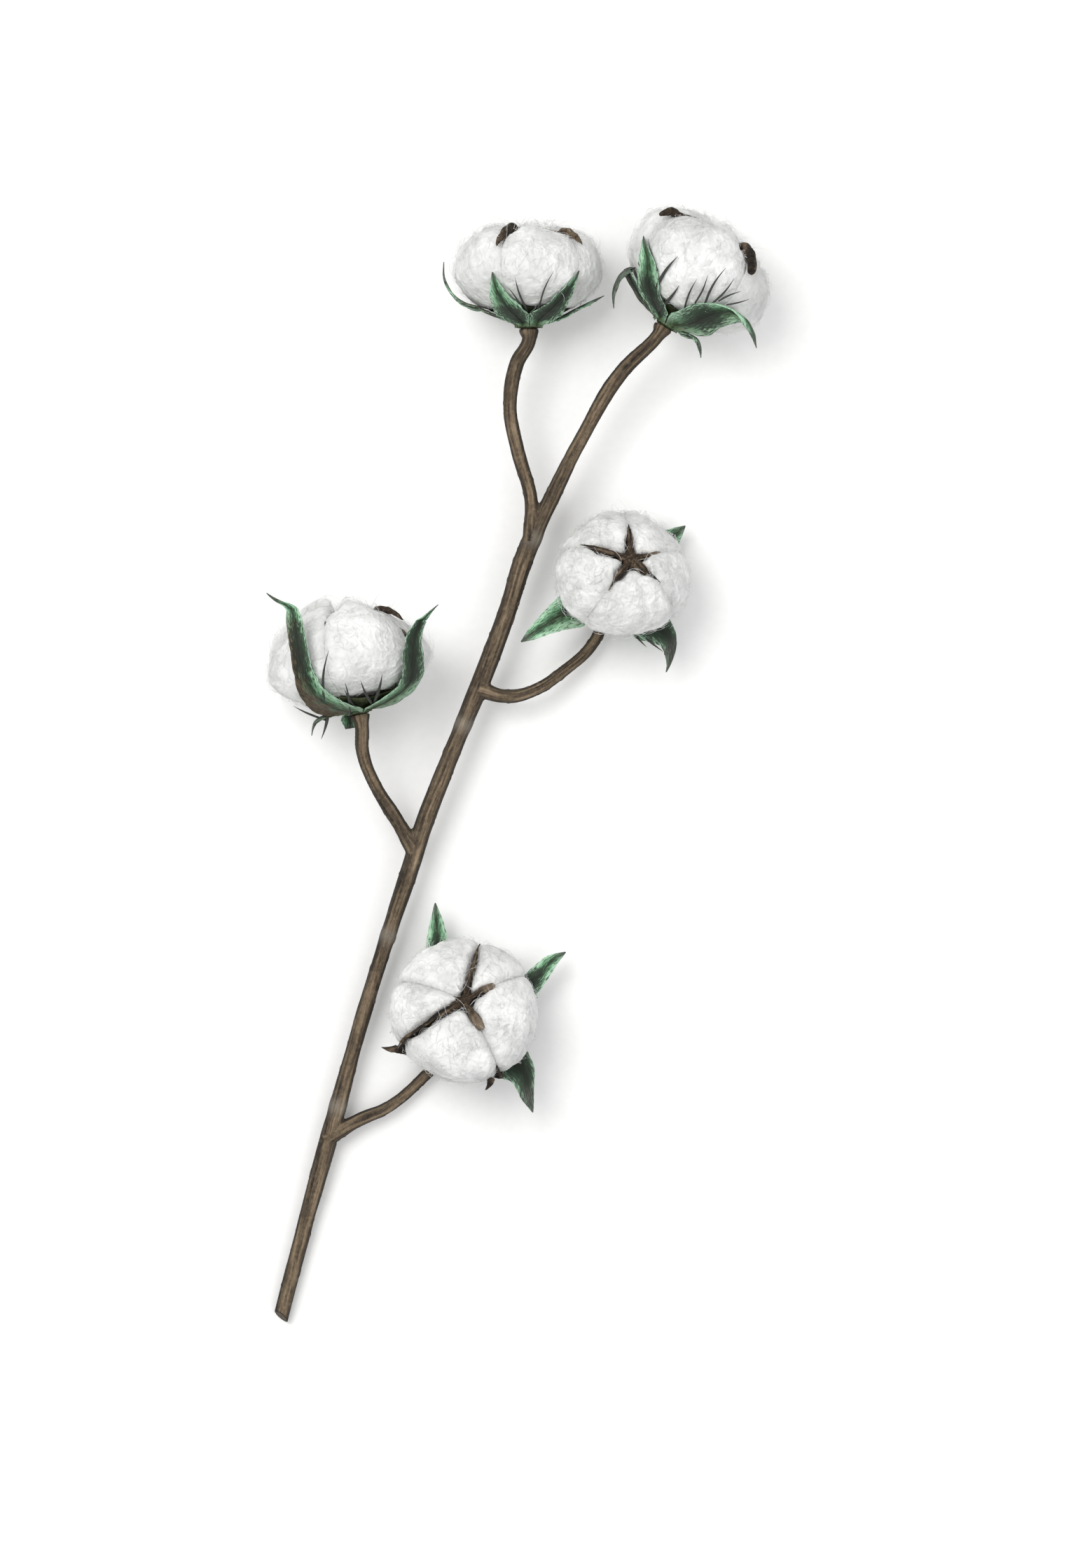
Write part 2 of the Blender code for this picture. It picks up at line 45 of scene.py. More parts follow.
import bmesh
import bpy
import numpy as np
from mathutils import Vector
from mathutils.kdtree import KDTree

MM = 0.001
MIDDLE = np.array([-1.8, -0.5, 0.0])     # of the footprint, in the terms of the lists below

# ---- dimensions shared with the CAD part, millimetres -----------------------
BOWL_OFFSET = 1.6        # from the lint to the inside of the bowl
BOWL_THICK = 1.0
BRACT_OFFSET = 3.2       # from the lint to the inside of a bract
BRACT_SPACE = 3.0        # degrees left free between neighbouring bracts
LOCK_HEART = 0.5         # a lock's own centre, as a share of the boll's radius
VALVE_TOP = 60.0         # polar angle of a valve's tip, from the boll's foot
TIP_TOP = 92.0           # and of the few valves that lean out past the lint
VALLEY_TOP = 28.0        # polar angle of the bowl's rim between two valves
TABLE_CLEAR = 0.5        # the burr stays this far above the table
CREST_DEPTH = 0.70       # top of a septum, as a share of the lint's height

# foot, axis, middle, radius, above and below give each boll's lint; gaps are
# the azimuths of its septa; bracts are (azimuth, [(turn, radius, height, half
# width), ...] from foot to tip).
BOLLS = [
    dict(
        foot=(2.4, 175.2, 24.6), axis=(0.0, 1.0, 0.0),
        middle=27.2, radius=28.6, above=14.6, below=20.4,
        gaps=(-113, -46, 19, 92, 163), swell=(1.0, 1.0, 0.98, 0.98, 1.0),
        flare={},
        bracts=[
            (176, [(0, 5.5, 2.6, 5.0), (0, 11, 5.4, 9), (0, 18, 8.4, 9.5), (0, 25, 10.4, 8),
                   (0, 30.5, 14.5, 5), (0, 33.6, 20.5, 2.4), (0, 34, 27, 0.25)]),
            (-118, [(0, 5.5, 2.6, 5.0), (0, 12.6, 5.6, 8), (0, 20.3, 10, 5.6),
                    (0, 26, 15, 2.8), (0, 29.6, 20.6, 0.25)]),
            (-58, [(0, 5.5, 2.6, 5.0), (-2, 12, 5.4, 8), (0, 19, 9.6, 5.2),
                   (3, 25.5, 14.5, 2.8), (8, 30, 21.4, 0.25)]),
            (14, [(0, 5.5, 2.6, 5.0), (0, 12, 4.6, 8), (0, 20, 8.6, 7.5),
                  (0, 25.5, 11.6, 4), (0, 31, 14, 0.25)]),
        ],
    ),
    dict(
        foot=(56.3, 175.8, 29.4), axis=(0.55, 0.835, 0.0),
        middle=30.2, radius=31.0, above=17.0, below=24.0,
        gaps=(-138, -57, 35, 125), swell=(1.0, 0.97, 1.0, 0.98),
        flare={},
        bracts=[
            (-170, [(0, 5.5, 2.6, 5.0), (0, 9, 4.2, 8), (0, 15, 7.4, 8), (0, 20.6, 11.6, 7),
                    (0, 24.4, 12, 5.4), (0, 26.4, 7, 4.4), (0, 25, 0, 3), (0, 21, -5.4, 0.25)]),
            (-127, [(0, 5.5, 2.6, 5.0), (0, 13, 6, 8), (0, 21.5, 11, 6.5), (-2, 29, 17.6, 4.5),
                    (-14, 32.6, 24, 0.25)]),
            (-58, [(0, 5.5, 2.6, 5.0), (0, 14, 6.4, 9), (-2, 24, 12.2, 8.4), (4, 30, 17.4, 7.4),
                   (14, 34.5, 18.8, 5.8), (22, 38, 16, 3.4), (29, 41, 11.6, 0.25)]),
            (4, [(0, 5.5, 2.6, 5.0), (0, 10, 3.2, 6.5), (0, 14, 3.4, 5.5), (0, 17, 1.4, 3.4),
                 (0, 19.4, -2.2, 0.25)]),
        ],
    ),
    dict(
        foot=(33.4, 69.8, 14.0), axis=(0.275, 0.355, 0.894),
        middle=24.0, radius=27.4, above=14.0, below=18.5,
        gaps=(21, 93, 166, 236, 323), swell=(0.92, 0.86, 0.98, 0.91, 1.0),
        flare={323: 1.0},
        bracts=[
            (43, [(0, 5.5, 2.6, 5.0), (0, 14, 4.4, 8), (0, 24, 8.6, 7), (0, 32, 11.6, 4.6),
                  (0, 40, 14, 0.25)]),
            (216, [(0, 5.5, 2.6, 5.0), (0, 14, 4.6, 8), (0, 24, 8, 7), (0, 33, 8, 4.6),
                   (0, 40, 5, 2.6), (0, 44.6, 2, 0.25)]),
            (314, [(0, 5.5, 2.6, 5.0), (2, 14, 4.6, 9), (5, 23, 8, 8.6), (6, 30, 8.6, 5.4),
                   (1, 36, 7, 3.2), (-8, 40.8, 3.6, 0.25)]),
        ],
    ),
    dict(
        foot=(-65.1, 21.0, 28.6), axis=(-0.18, 0.984, 0.0),
        middle=27.0, radius=33.4, above=24.0, below=22.0,
        gaps=(-106, -35, 30, 98, 170), swell=(0.93, 1.0, 0.93, 0.96, 1.0),
        flare={},
        bracts=[
            (-122, [(0, 5.5, 2.6, 5.0), (0, 13, 4.8, 9), (-1, 24, 10.6, 7), (2, 32.6, 20.4, 4.6),
                    (3, 33.4, 30, 3.9), (-2, 29.4, 39.6, 3.6), (-12, 27, 46.4, 2.8),
                    (-19, 30, 50, 1.6), (-22, 33.4, 53.6, 0.25)]),
            (-38, [(0, 5.5, 2.6, 5.0), (4, 14, 4.4, 9), (7, 23, 9.4, 8), (-4, 30.4, 16.8, 6),
                   (-6, 34, 25.2, 4.6), (4, 35, 31, 3.6), (10, 38, 34, 2.2), (14, 42.4, 37, 0.25)]),
            (180, [(0, 5.5, 2.4, 4.6), (0, 10, 2.6, 6), (0, 15, 2.2, 5), (0, 18.8, 0.2, 3.2),
                   (0, 20.6, -4.8, 0.25)]),
            (118, [(0, 5.5, 2.2, 4.6), (0, 8.6, 1.6, 5.4), (0, 10.6, -0.8, 4.6), (0, 11.4, -4.6, 2.2)]),
        ],
    ),
    dict(
        foot=(-24.2, -104.6, 11.0), axis=(0.03, 0.34, 0.94),
        middle=24.0, radius=29.0, above=14.0, below=18.5,
        gaps=(30, 77, 157, 211, 299), swell=(1.0, 1.0, 1.0, 0.98, 1.0),
        flare={211: 4.5, 299: 2.0},
        bracts=[
            (114, [(0, 5.5, 2.6, 5.0), (0, 14, 4.8, 8), (0, 24, 9.6, 7), (-4, 31, 12.6, 5),
                   (-8, 40, 16, 3), (-10, 48, 18, 0.25)]),
            (26, [(0, 5.5, 2.6, 5.0), (0, 14, 4.6, 7), (0, 25, 9.4, 6), (4, 33, 12, 4.6),
                  (8, 42, 13.6, 3), (8, 49.4, 14, 0.25)]),
            (319, [(0, 5.5, 2.6, 5.0), (0, 13, 4.4, 9), (0, 22.5, 7.8, 8.5), (0, 32, 8.4, 6.4),
                   (-8, 40, 7, 3.2), (-12, 46.6, 6, 0.25)]),
        ],
    ),
]

# the stem and its stalks: (x, y, z, radius)
MAIN_STEM = [
    (-99.5, -229, 3.4, 3.1), (-88.7, -187.2, 5.5, 3.2), (-79.8, -155, 7.3, 3.6),
    (-73.1, -131.4, 8.8, 3.4), (-66.7, -107.9, 10.0, 3.1), (-55.6, -71.7, 12.0, 3.1),
    (-45.3, -40.5, 13.8, 3.6), (-39.9, -23.3, 14.8, 3.8), (-27.4, 8.7, 16.2, 3.4),
    (-16.2, 35.9, 17.5, 3.8), (-6.1, 63.0, 18.8, 3.6), (1.9, 87.5, 20.0, 3.9),
    (9.6, 104, 21.0, 3.3), (23.0, 130.5, 23.4, 2.8), (38.8, 156.9, 26.6, 3.0),
]
STALKS = {
    1: [(3.0, 91.0, 20.2, 3.2), (3.2, 107.4, 21.2, 2.8), (-2.2, 127.2, 22.4, 2.7), (-5.1, 143.7, 23.0, 2.7),
        (-2.6, 161.0, 24.0, 2.9)],
    3: [(-16.6, 31.0, 17.4, 3.2), (-7.4, 28.4, 16.5, 2.8), (4.0, 30.6, 14.8, 2.4), (16.7, 38.9, 11.4, 2.3),
        (27.9, 49.4, 8.0, 2.3), (32.0, 58.5, 6.4, 2.4)],
    4: [(-43.5, -34.0, 14.2, 3.4), (-50.1, -22.3, 15.8, 2.9), (-59.2, -7.1, 20.4, 2.6),
        (-64.0, 6.0, 25.2, 2.6)],
    5: [(-78.0, -149.0, 7.8, 3.2), (-67.0, -142.6, 7.4, 2.8), (-53.3, -136.3, 6.3, 2.4),
        (-39.5, -124.4, 5.2, 2.3), (-28.5, -112.5, 4.6, 2.4)],
}
STALK_SWELL = (2.8, 4.0)     # stalk's radius 4.5 mm short of the burr, and at it
CUT_POINT = (-97.6, -221.6, 3.4)
CUT_FACING = (-0.62, -0.78, 0.38)

# ---- looks ------------------------------------------------------------------
# lint
SPHERE_DETAIL = 7            # 81,920 faces a lock, without its fibres
LINT_BULGE = 2.3             # lint swells this far over the rim of its bowl
LINT_UNEVEN = 0.9            # and this much more or less from place to place
LINT_WARP = 1.6              # how far its smaller lumps are pushed about
LUMP_SIZES = (12.0, 5.5, 2.4, 1.0)
LUMP_DEPTHS = (0.60, 0.55, 0.34, 0.13)
LUMP_LEVEL = 0.7             # of a billow or tuft, taken off so that lint keeps its size
STREAK_DEPTH = 0.10
SEAM_WIDTH = 2.2
SEAM_NOTCH = (0.25, 1.5)     # depth where two locks meet, and what it gains as they merge less
SEAM_SHUTS = (-0.30, 0.02)   # over what shares of the radius a seam closes
LOCK_WALL = (1.0, 1.2)       # left free beside a septum, and taken off it where the seam is shut
LOCK_EDGES = (4.2, 40.0)     # sharpness of a lock's sides, and what it gains where the seam is shut
FIRST_EDGE = 12.0            # sharpness for the first guess at a lock's size
SAG_INWARDS = 0.36           # how far sagged lint draws in towards the axis
GROUND_GAP = 0.02            # lint stays this far above the table
FIBRE_SEED = 23
FIBRES_PER_LOCK = 600
FIBRE_STEPS = 6
FIBRE_LENGTHS = (2.5, 9.0)
FIBRE_THICKNESS = (0.04, 0.09)
FIBRE_LIFT = 1.6
FIBRE_WAVE = 1.8
FIBRE_FALL = 15.0            # radius of the curve that brings a fibre back to the lint
# bracts
LEAF_COLUMNS = 33
LEAF_ROWS = 14               # for each point of its spine
LEAF_ROOT = (4.6, 0.7, 3.6)  # radius, height and half width where it starts, under the burr
LEAF_LEAST = 0.16            # smallest half width
LEAF_THICK = (0.62, 0.36)    # at the midrib, and taken off towards the edge
LEAF_RIPPLE = 0.7
LEAF_RAGGED = 0.05
RIB = (0.42, 0.55)           # height and width of the midrib
VEIN_HEIGHT = 0.14
TOOTH_CLEAR = 1.3            # teeth run this far above the swollen lint
TOOTH_SIDES = 7
# burrs and stem
VALVE_HIDE = 0.62            # valves are cut to this share where the lint covers them
BOWL_GRID = (22, 240)        # points from the foot to the rim, and round
SEPTUM_GRID = (24, 14)       # points from the centre out, and from the bowl to the crest
SEPTUM_THICK = (0.38, 0.2)   # half of it at the rim, and gained towards the crest
BURR_VOXEL = 0.42
BURR_ROUGH = (0.12, 0.13)    # depth of its streaks and of its grain
STEM_VOXEL = 0.52
STALK_ENDS = (4.5, 0.1)      # how far short of the burr a stalk's last two points are
BARK_LIFT = (0.20, 0.14, 0.28, 0.18)       # ridges, lumps, worn rings, leaf scars
PALE_KNOTS = (96.0, 168.0, 258.0, 338.0)   # worn rings, mm up the stem
KNOT_WIDTH = 3.2

# Ridges between locks: (boll, azimuth): [(share of the boll's radius, radius,
# where it runs: 0 on the buried crest, 1 on the lint's skin), ...] from the
# centre out, then the share where the lint closes over it. The rest take RIDGE.
RIDGE = ([(0.0, 2.2, 0.0), (0.5, 1.2, 0.0), (0.8, 0.3, 0.0)], 0.62)
RIDGES = {
    (1, -113): ([(0.0, 2.2, 0.0), (0.42, 1.2, 0.5), (0.60, 2.3, 0.95), (0.76, 2.0, 1.03),
                 (0.88, 1.5, 1.06), (0.96, 1.0, 1.08), (1.0, 0.3, 1.09)], 0.98),
    (1, -46): ([(0.0, 2.2, 0.0), (0.54, 0.7, 0.4), (0.70, 1.6, 0.97), (0.82, 1.3, 1.04),
                (0.92, 0.9, 1.07), (0.98, 0.25, 1.08)], 0.92),
    (2, -138): ([(0.0, 2.2, 0.0), (0.60, 1.0, 0.1), (0.82, 1.0, 0.5), (0.89, 1.8, 1.0),
                 (0.94, 1.7, 1.06), (0.985, 1.1, 1.08), (1.0, 0.3, 1.09)], 0.95),
    (2, -57): ([(0.0, 2.2, 0.0), (0.44, 1.4, 0.3), (0.58, 1.8, 0.96), (0.74, 2.2, 1.04),
                (0.90, 2.0, 1.06), (0.975, 1.6, 1.06), (0.995, 0.8, 1.05)], 1.0),
    (3, 21): ([(0.0, 2.5, 0.0), (0.20, 1.1, 0.3), (0.40, 0.6, 0.6), (0.50, 0.2, 0.6)], 0.44),
    (3, 93): ([(0.0, 2.5, 0.0), (0.20, 1.3, 0.3), (0.42, 0.9, 0.6), (0.58, 0.2, 0.8)], 0.54),
    (3, 166): ([(0.0, 2.5, 0.0), (0.24, 1.2, 0.3), (0.55, 0.8, 0.6), (0.80, 0.2, 0.8)], 0.76),
    (3, 236): ([(0.0, 2.5, 0.0), (0.18, 1.2, 0.3), (0.34, 1.5, 0.7), (0.46, 0.7, 0.7),
                (0.64, 0.2, 0.7)], 0.58),
    (3, 323): ([(0.0, 2.7, 0.0), (0.22, 1.9, 0.3), (0.34, 0.9, 0.5), (0.56, 0.2, 0.7)], 0.50),
    (4, -106): ([(0.0, 1.6, 0.0), (0.5, 0.8, 0.2), (0.74, 0.5, 0.8), (0.86, 0.2, 0.9)], 0.70),
    (4, -35): ([(0.0, 1.6, 0.0), (0.46, 0.5, 0.3), (0.58, 0.9, 0.95), (0.72, 1.3, 1.03),
                (0.86, 1.0, 1.05), (0.95, 0.3, 1.05)], 0.94),
    (5, 30): ([(0.0, 1.8, 0.0), (0.18, 1.1, 0.4), (0.34, 1.5, 0.7), (0.44, 1.3, 0.85),
               (0.46, 0.6, 0.8)], 0.50),
    (5, 77): ([(0.0, 1.8, 0.0), (0.18, 1.1, 0.4), (0.5, 0.8, 0.7), (0.80, 0.5, 0.95),
               (0.98, 0.3, 1.0)], 0.96),
    (5, 157): ([(0.0, 1.8, 0.0), (0.16, 0.6, 0.0), (0.30, 0.2, 0.0)], 0.24),
    (5, 211): ([(0.0, 1.8, 0.0), (0.22, 1.4, 0.4), (0.5, 0.9, 0.7), (0.80, 0.7, 0.95),
                (1.02, 1.1, 1.0)], 1.04),
    (5, 299): ([(0.0, 1.8, 0.0), (0.16, 1.5, 0.4), (0.32, 2.0, 0.7), (0.46, 1.6, 0.85),
                (0.49, 0.7, 0.8)], 0.54),
}
MERGE = {3: 0.75, 5: 0.30}   # how far a boll's seams vanish where lint closes over them
LOW_CREST = {4: 0.54}        # what a boll has instead of CREST_DEPTH
# Locks that sag towards their rim: (boll, lock): share of the height above the middle.
SAG = {(4, 1): 0.84, (4, 2): 0.52, (4, 3): 0.66, (4, 5): 0.62, (2, 2): 0.86}
PALE_RIDGES = ((5, 299), (5, 30), (3, 21))   # (boll, azimuth)
# Tips that curl round from their valve: (boll, azimuth): (degrees at the start,
# at the end, length).
TIPS = {(5, 211): (211, 206, 6.0), (5, 299): (291, 284, 4.6)}

# Long thin teeth of the bracts that lie over the lint: (boll, bract): [(start
# across, start up, end across, end up, radius), ...] as seen from above.
TEETH = {
    (1, 2): [(-2.1, 9.6, -5.4, 17.9, 0.46), (-4.6, 9.0, -8.6, 14.8, 0.36)],
    (1, 3): [(5.9, 11.4, 9.9, 20.6, 0.34), (3.7, 8.0, 5.6, 13.0, 0.42)],
    (2, 2): [(-10.2, 13.4, -9.8, 23.7, 0.75), (-4.4, 7.4, -3.2, 14.6, 0.8), (-16.6, 17.6, -23.6, 23.6, 0.36)],
    (2, 3): [(2.6, 13.0, 1.4, 20.2, 0.4), (5.2, 16.4, 4.1, 23.9, 0.4), (9.2, 17.4, 8.5, 30.0, 0.55),
             (12.0, 19.4, 13.5, 28.7, 0.46), (15.4, 21.4, 18.6, 26.2, 0.4), (19.2, 21.6, 22.8, 25.6, 0.34)],
    (4, 1): [(-11.0, 11.6, -6.4, 26.5, 0.62), (-3.4, 4.8, -2.6, 12.9, 0.6), (-1.4, 4.6, -3.4, 10.4, 0.5)],
    (4, 2): [(5.4, 5.6, 3.6, 12.5, 0.65), (8.7, 7.0, 12.3, 13.5, 0.7)],
    (4, 3): [(-17.0, 2.4, -25.3, 8.0, 0.5), (-13.4, 1.0, -16.8, -7.1, 0.8)],
}
# Bracts by (boll, bract): how brown they are, where along them the near-black strokes of
# painted shade start and end, and where their dry point starts. The rest take the usual.
USUAL_BROWN, USUAL_PAINTED_SHADE, USUAL_POINT = 0.2, (0.25, 0.6), 0.84
LEAF_BROWN = {(1, 1): 0.7, (1, 2): 0.1, (1, 3): 0.1, (1, 4): 0.5, (2, 1): 0.8, (2, 2): 0.1, (2, 3): 0.3,
              (4, 1): 1.0, (4, 3): 0.9, (5, 3): 0.5}
LEAF_PAINTED_SHADE = {(1, 2): (0.2, 0.5), (1, 3): (0.3, 0.8), (2, 3): (0.36, 0.46), (3, 1): (0.3, 0.8),
             (3, 2): (0.10, 0.34), (3, 3): (0.5, 0.8), (4, 1): (0.46, 0.60), (4, 2): (0.42, 0.74),
             (5, 1): (0.2, 0.66), (5, 2): (0.2, 0.68), (5, 3): (0.2, 0.8)}
LEAF_POINT = {(1, 1): 0.70, (1, 4): 0.72, (2, 1): 0.50, (2, 3): 0.80, (2, 4): 0.6, (3, 2): 0.80,
              (3, 3): 0.66, (4, 1): 0.80, (4, 3): 0.6, (5, 3): 0.72}
TOOTH_ROOT = 4.0             # a tooth runs back this far under its bract's edge
FREE_TEETH = {(4, 3)}        # teeth that leave the boll instead of lying on its lint
EDGE_TEETH = {               # short teeth on a margin: (boll, bract): [(side, place, length), ...]
    (3, 3): [(-1, 0.46, 8.0), (-1, 0.56, 8.0)],
    (5, 2): [(-1, 0.42, 3.0), (-1, 0.56, 2.6), (1, 0.40, 2.4)],
    (5, 3): [(-1, 0.28, 3.0)],
    (2, 4): [(1, 0.5, 2.6)],
}


# ---- small numeric tools ----------------------------------------------------
def unit(rows):
    """Each row of an array, made one long."""
    rows = np.asarray(rows, dtype=float)
    return rows / np.maximum(np.linalg.norm(rows, axis=-1, keepdims=True), 1e-12)


def lattice(cells, seed):
    """A repeatable value from 0 to 1 for each integer cell."""
    x, y, z = (cells[..., axis].astype(np.int64) for axis in range(3))
    mixed = (x * 374761393 + y * 668265263 + z * 1440662683 + seed * 362437) & 0xFFFFFFFF
    mixed = ((mixed ^ (mixed >> 13)) * 1274126177) & 0xFFFFFFFF
    return ((mixed ^ (mixed >> 16)) & 0xFFFFFF) / float(0xFFFFFF)


def noise(points, scale, seed=0):
    """Smooth noise from -1 to 1 whose lumps are about scale millimetres across."""
    places = np.asarray(points, dtype=float) / scale
    base = np.floor(places).astype(np.int64)
    blend = places - base
    blend = blend * blend * blend * (blend * (blend * 6 - 15) + 10)
    total = 0.0
    for corner in range(8):
        step = np.array([corner & 1, (corner >> 1) & 1, (corner >> 2) & 1])
        weight = np.prod(np.where(step == 1, blend, 1 - blend), axis=-1)
        total = total + weight * lattice(base + step, seed)
    return total * 2 - 1


def smoothstep(low, high, value):
    share = np.clip((value - low) / (high - low), 0, 1)
    return share * share * (3 - 2 * share)


def along_points(points, places):
    """Catmull-Rom values at places, from 0 to 1, along a list of tuples."""
    table = np.array(points, dtype=float)
    spans = len(table) - 1
    places = np.atleast_1d(places) * spans
    span = np.minimum(places.astype(int), spans - 1)
    t = (places - span)[:, None]
    a = table[np.maximum(span - 1, 0)]
    b = table[span]
    c = table[span + 1]
    d = table[np.minimum(span + 2, spans)]
    return 0.5 * (2 * b + (c - a) * t + (2 * a - 5 * b + 4 * c - d) * t ** 2
                  + (3 * b - a - 3 * c + d) * t ** 3)


# ---- meshes from arrays -----------------------------------------------------
# A body is (points, blocks): points in millimetres, and arrays of faces, each
# array holding faces with one number of corners.
def joined(bodies):
    points = np.vstack([body[0] for body in bodies])
    blocks = []
    shift = 0
    for body_points, body_blocks in bodies:
        blocks.extend(block + shift for block in body_blocks)
        shift += len(body_points)
    return points, blocks


def mesh_object(name, body, attributes=None, smooth=True):
    """A mesh object from a body, with float attributes on its points."""
    points, blocks = body
    corners = np.concatenate([block.ravel() for block in blocks]).astype(np.int32)
    sizes = np.concatenate([np.full(len(block), block.shape[1]) for block in blocks])
    starts = np.concatenate([[0], np.cumsum(sizes)[:-1]]).astype(np.int32)
    mesh = bpy.data.meshes.new(name)
    mesh.vertices.add(len(points))
    mesh.vertices.foreach_set("co", (points * MM).astype(np.float32).ravel())
    mesh.loops.add(len(corners))
    mesh.loops.foreach_set("vertex_index", corners)
    mesh.polygons.add(len(sizes))
    mesh.polygons.foreach_set("loop_start", starts)
    mesh.update(calc_edges=True)
    add_attributes(mesh, attributes or {})
    if smooth:
        mesh.shade_smooth()
    made = bpy.data.objects.new(name, mesh)
    bpy.context.scene.collection.objects.link(made)
    return made


def add_attributes(mesh, table):
    for key, values in table.items():
        layer = mesh.attributes.new(key, "FLOAT", "POINT")
        layer.data.foreach_set("value", np.asarray(values, dtype=np.float32))


def read_vectors(mesh, key):
    flat = np.empty(len(mesh.vertices) * 3, dtype=np.float32)
    mesh.vertices.foreach_get(key, flat)
    return flat.reshape(-1, 3).astype(float)


def store_points(mesh, points):
    mesh.vertices.foreach_set("co", (points * MM).astype(np.float32).ravel())
    mesh.update()


def tubes(routes, radii, sides=3):
    """A body of closed, tapering tubes: routes (count, steps, 3), radii (count, steps)."""
    count, steps, _ = routes.shape
    ahead = np.empty_like(routes)
    ahead[:, 1:-1] = routes[:, 2:] - routes[:, :-2]
    ahead[:, 0] = routes[:, 1] - routes[:, 0]
    ahead[:, -1] = routes[:, -1] - routes[:, -2]
    ahead = unit(ahead)
    straight = unit(routes[:, -1] - routes[:, 0])[:, None]
    aside = np.where(np.abs(straight[..., 2:3]) < 0.8, [[[0.0, 0.0, 1.0]]], [[[1.0, 0.0, 0.0]]])
    first = unit(np.cross(ahead, aside))
    second = np.cross(ahead, first)
    turn = np.arange(sides) * 2 * math.pi / sides
    ring = (first[:, :, None, :] * np.cos(turn)[None, None, :, None]
            + second[:, :, None, :] * np.sin(turn)[None, None, :, None])
    points = routes[:, :, None, :] + ring * radii[:, :, None, None]
    side = np.arange(sides)
    following = (side + 1) % sides
    low = (np.arange(steps - 1) * sides)[:, None]
    quads = np.stack([low + side, low + following, low + sides + following, low + sides + side],
                     axis=-1).reshape(-1, 4)
    caps = np.stack([side[::-1], (steps - 1) * sides + side])
    shifts = (np.arange(count) * steps * sides)[:, None, None]
    return points.reshape(-1, 3), [(quads[None] + shifts).reshape(-1, 4),
                                   (caps[None] + shifts).reshape(-1, sides)]


def closed_sheet(inner, outer):
    """A thin solid between two grids of points of the same size."""
    rows, columns, _ = inner.shape
    points = np.vstack([inner.reshape(-1, 3), outer.reshape(-1, 3)])
    shift = rows * columns
    index = np.arange(shift).reshape(rows, columns)
    a, b, c, d = index[:-1, :-1], index[:-1, 1:], index[1:, 1:], index[1:, :-1]
    front = np.stack([a, b, c, d], axis=-1).reshape(-1, 4) + shift
    back = np.stack([d, c, b, a], axis=-1).reshape(-1, 4)
    ring = np.concatenate([index[0, :], index[1:, -1], index[-1, -2::-1], index[-2:0:-1, 0]])
    after = np.roll(ring, -1)
    rim = np.stack([ring, after, after + shift, ring + shift], axis=-1)
    return points, [front, back, rim]


# ---- the boll's own terms ---------------------------------------------------
def sagged(sag, share):
    """Sag grows away from the boll's centre."""
    return 1 - (1 - sag) * smoothstep(-0.35, 0.55, share)


class Boll:
    def __init__(self, number, data):
        self.number = number
        self.foot = np.array(data["foot"]) - MIDDLE
        self.up = unit(data["axis"])
        self.out = unit(np.array([1.0, 0.0, 0.0]) - self.up * self.up[0])
        self.side = np.cross(self.up, self.out)
        self.crest = LOW_CREST.get(number, CREST_DEPTH)
        for key in ("middle", "radius", "above", "below", "gaps", "swell", "flare", "bracts"):
            setattr(self, key, data[key])

    def direction(self, azimuth):
        turn = np.radians(np.asarray(azimuth, dtype=float))[..., None]
        return self.out * np.cos(turn) + self.side * np.sin(turn)

    def place(self, radius, azimuth, height):
        radius, azimuth, height = np.broadcast_arrays(radius, azimuth, height)
        return (self.foot + self.up * np.asarray(height, dtype=float)[..., None]
                + self.direction(azimuth) * np.asarray(radius, dtype=float)[..., None])

    def terms(self, points):
        """Radius, azimuth in degrees and height of world points."""
        away = points - self.foot
        across = away @ self.out
        deep = away @ self.side
        return np.hypot(across, deep), np.degrees(np.arctan2(deep, across)), away @ self.up

    def pushed_out(self, radius, height, offset):
        rise = height - self.middle
        half = np.where(rise > 0, self.above, self.below) + offset
        share = np.maximum(1e-6, np.hypot(radius / (self.radius + offset), rise / half))
        scale = np.where(share < 1.0, 1.0 / share, 1.0)
        return radius * scale, self.middle + rise * scale

    def bowl(self, polar, lean=0.0):
        angle = np.radians(polar)
        radius = (self.radius + BOWL_OFFSET) * np.sin(angle) + lean * (polar / TIP_TOP) ** 6
        return radius, self.middle - (self.below + BOWL_OFFSET) * np.cos(angle)

    def ridge(self, azimuth):
        return RIDGES.get((self.number, azimuth), RIDGE)

    def sags(self):
        return [SAG.get((self.number, lock), 1.0) for lock in range(1, len(self.gaps) + 1)]

    def seam_level(self, azimuth):
        index = self.gaps.index(azimuth)
        return (self.sags()[index] + self.sags()[index - 1]) / 2

    def seam_sag(self, azimuth, share):
        """How far the lint has sagged along a seam, as a share of full height."""
        return sagged(self.seam_level(azimuth), share)

    def drawn_in(self, loss, height):
        """The share by which lint that lost some height draws in towards the axis."""
        return SAG_INWARDS * loss * smoothstep(self.middle - 12, self.middle + 8, height)


# ---- lint -------------------------------------------------------------------
def sphere_template(detail):
    """Directions and faces of a finely divided ball."""
    ball = bmesh.new()
    bmesh.ops.create_icosphere(ball, subdivisions=detail, radius=1.0)
    mesh = bpy.data.meshes.new("ball")
    ball.to_mesh(mesh)
    ball.free()
    faces = np.empty(len(mesh.polygons) * 3, dtype=np.int32)
    mesh.loops.foreach_get("vertex_index", faces)
    directions = unit(read_vectors(mesh, "co"))
    bpy.data.meshes.remove(mesh)
    return directions, faces.reshape(-1, 3)


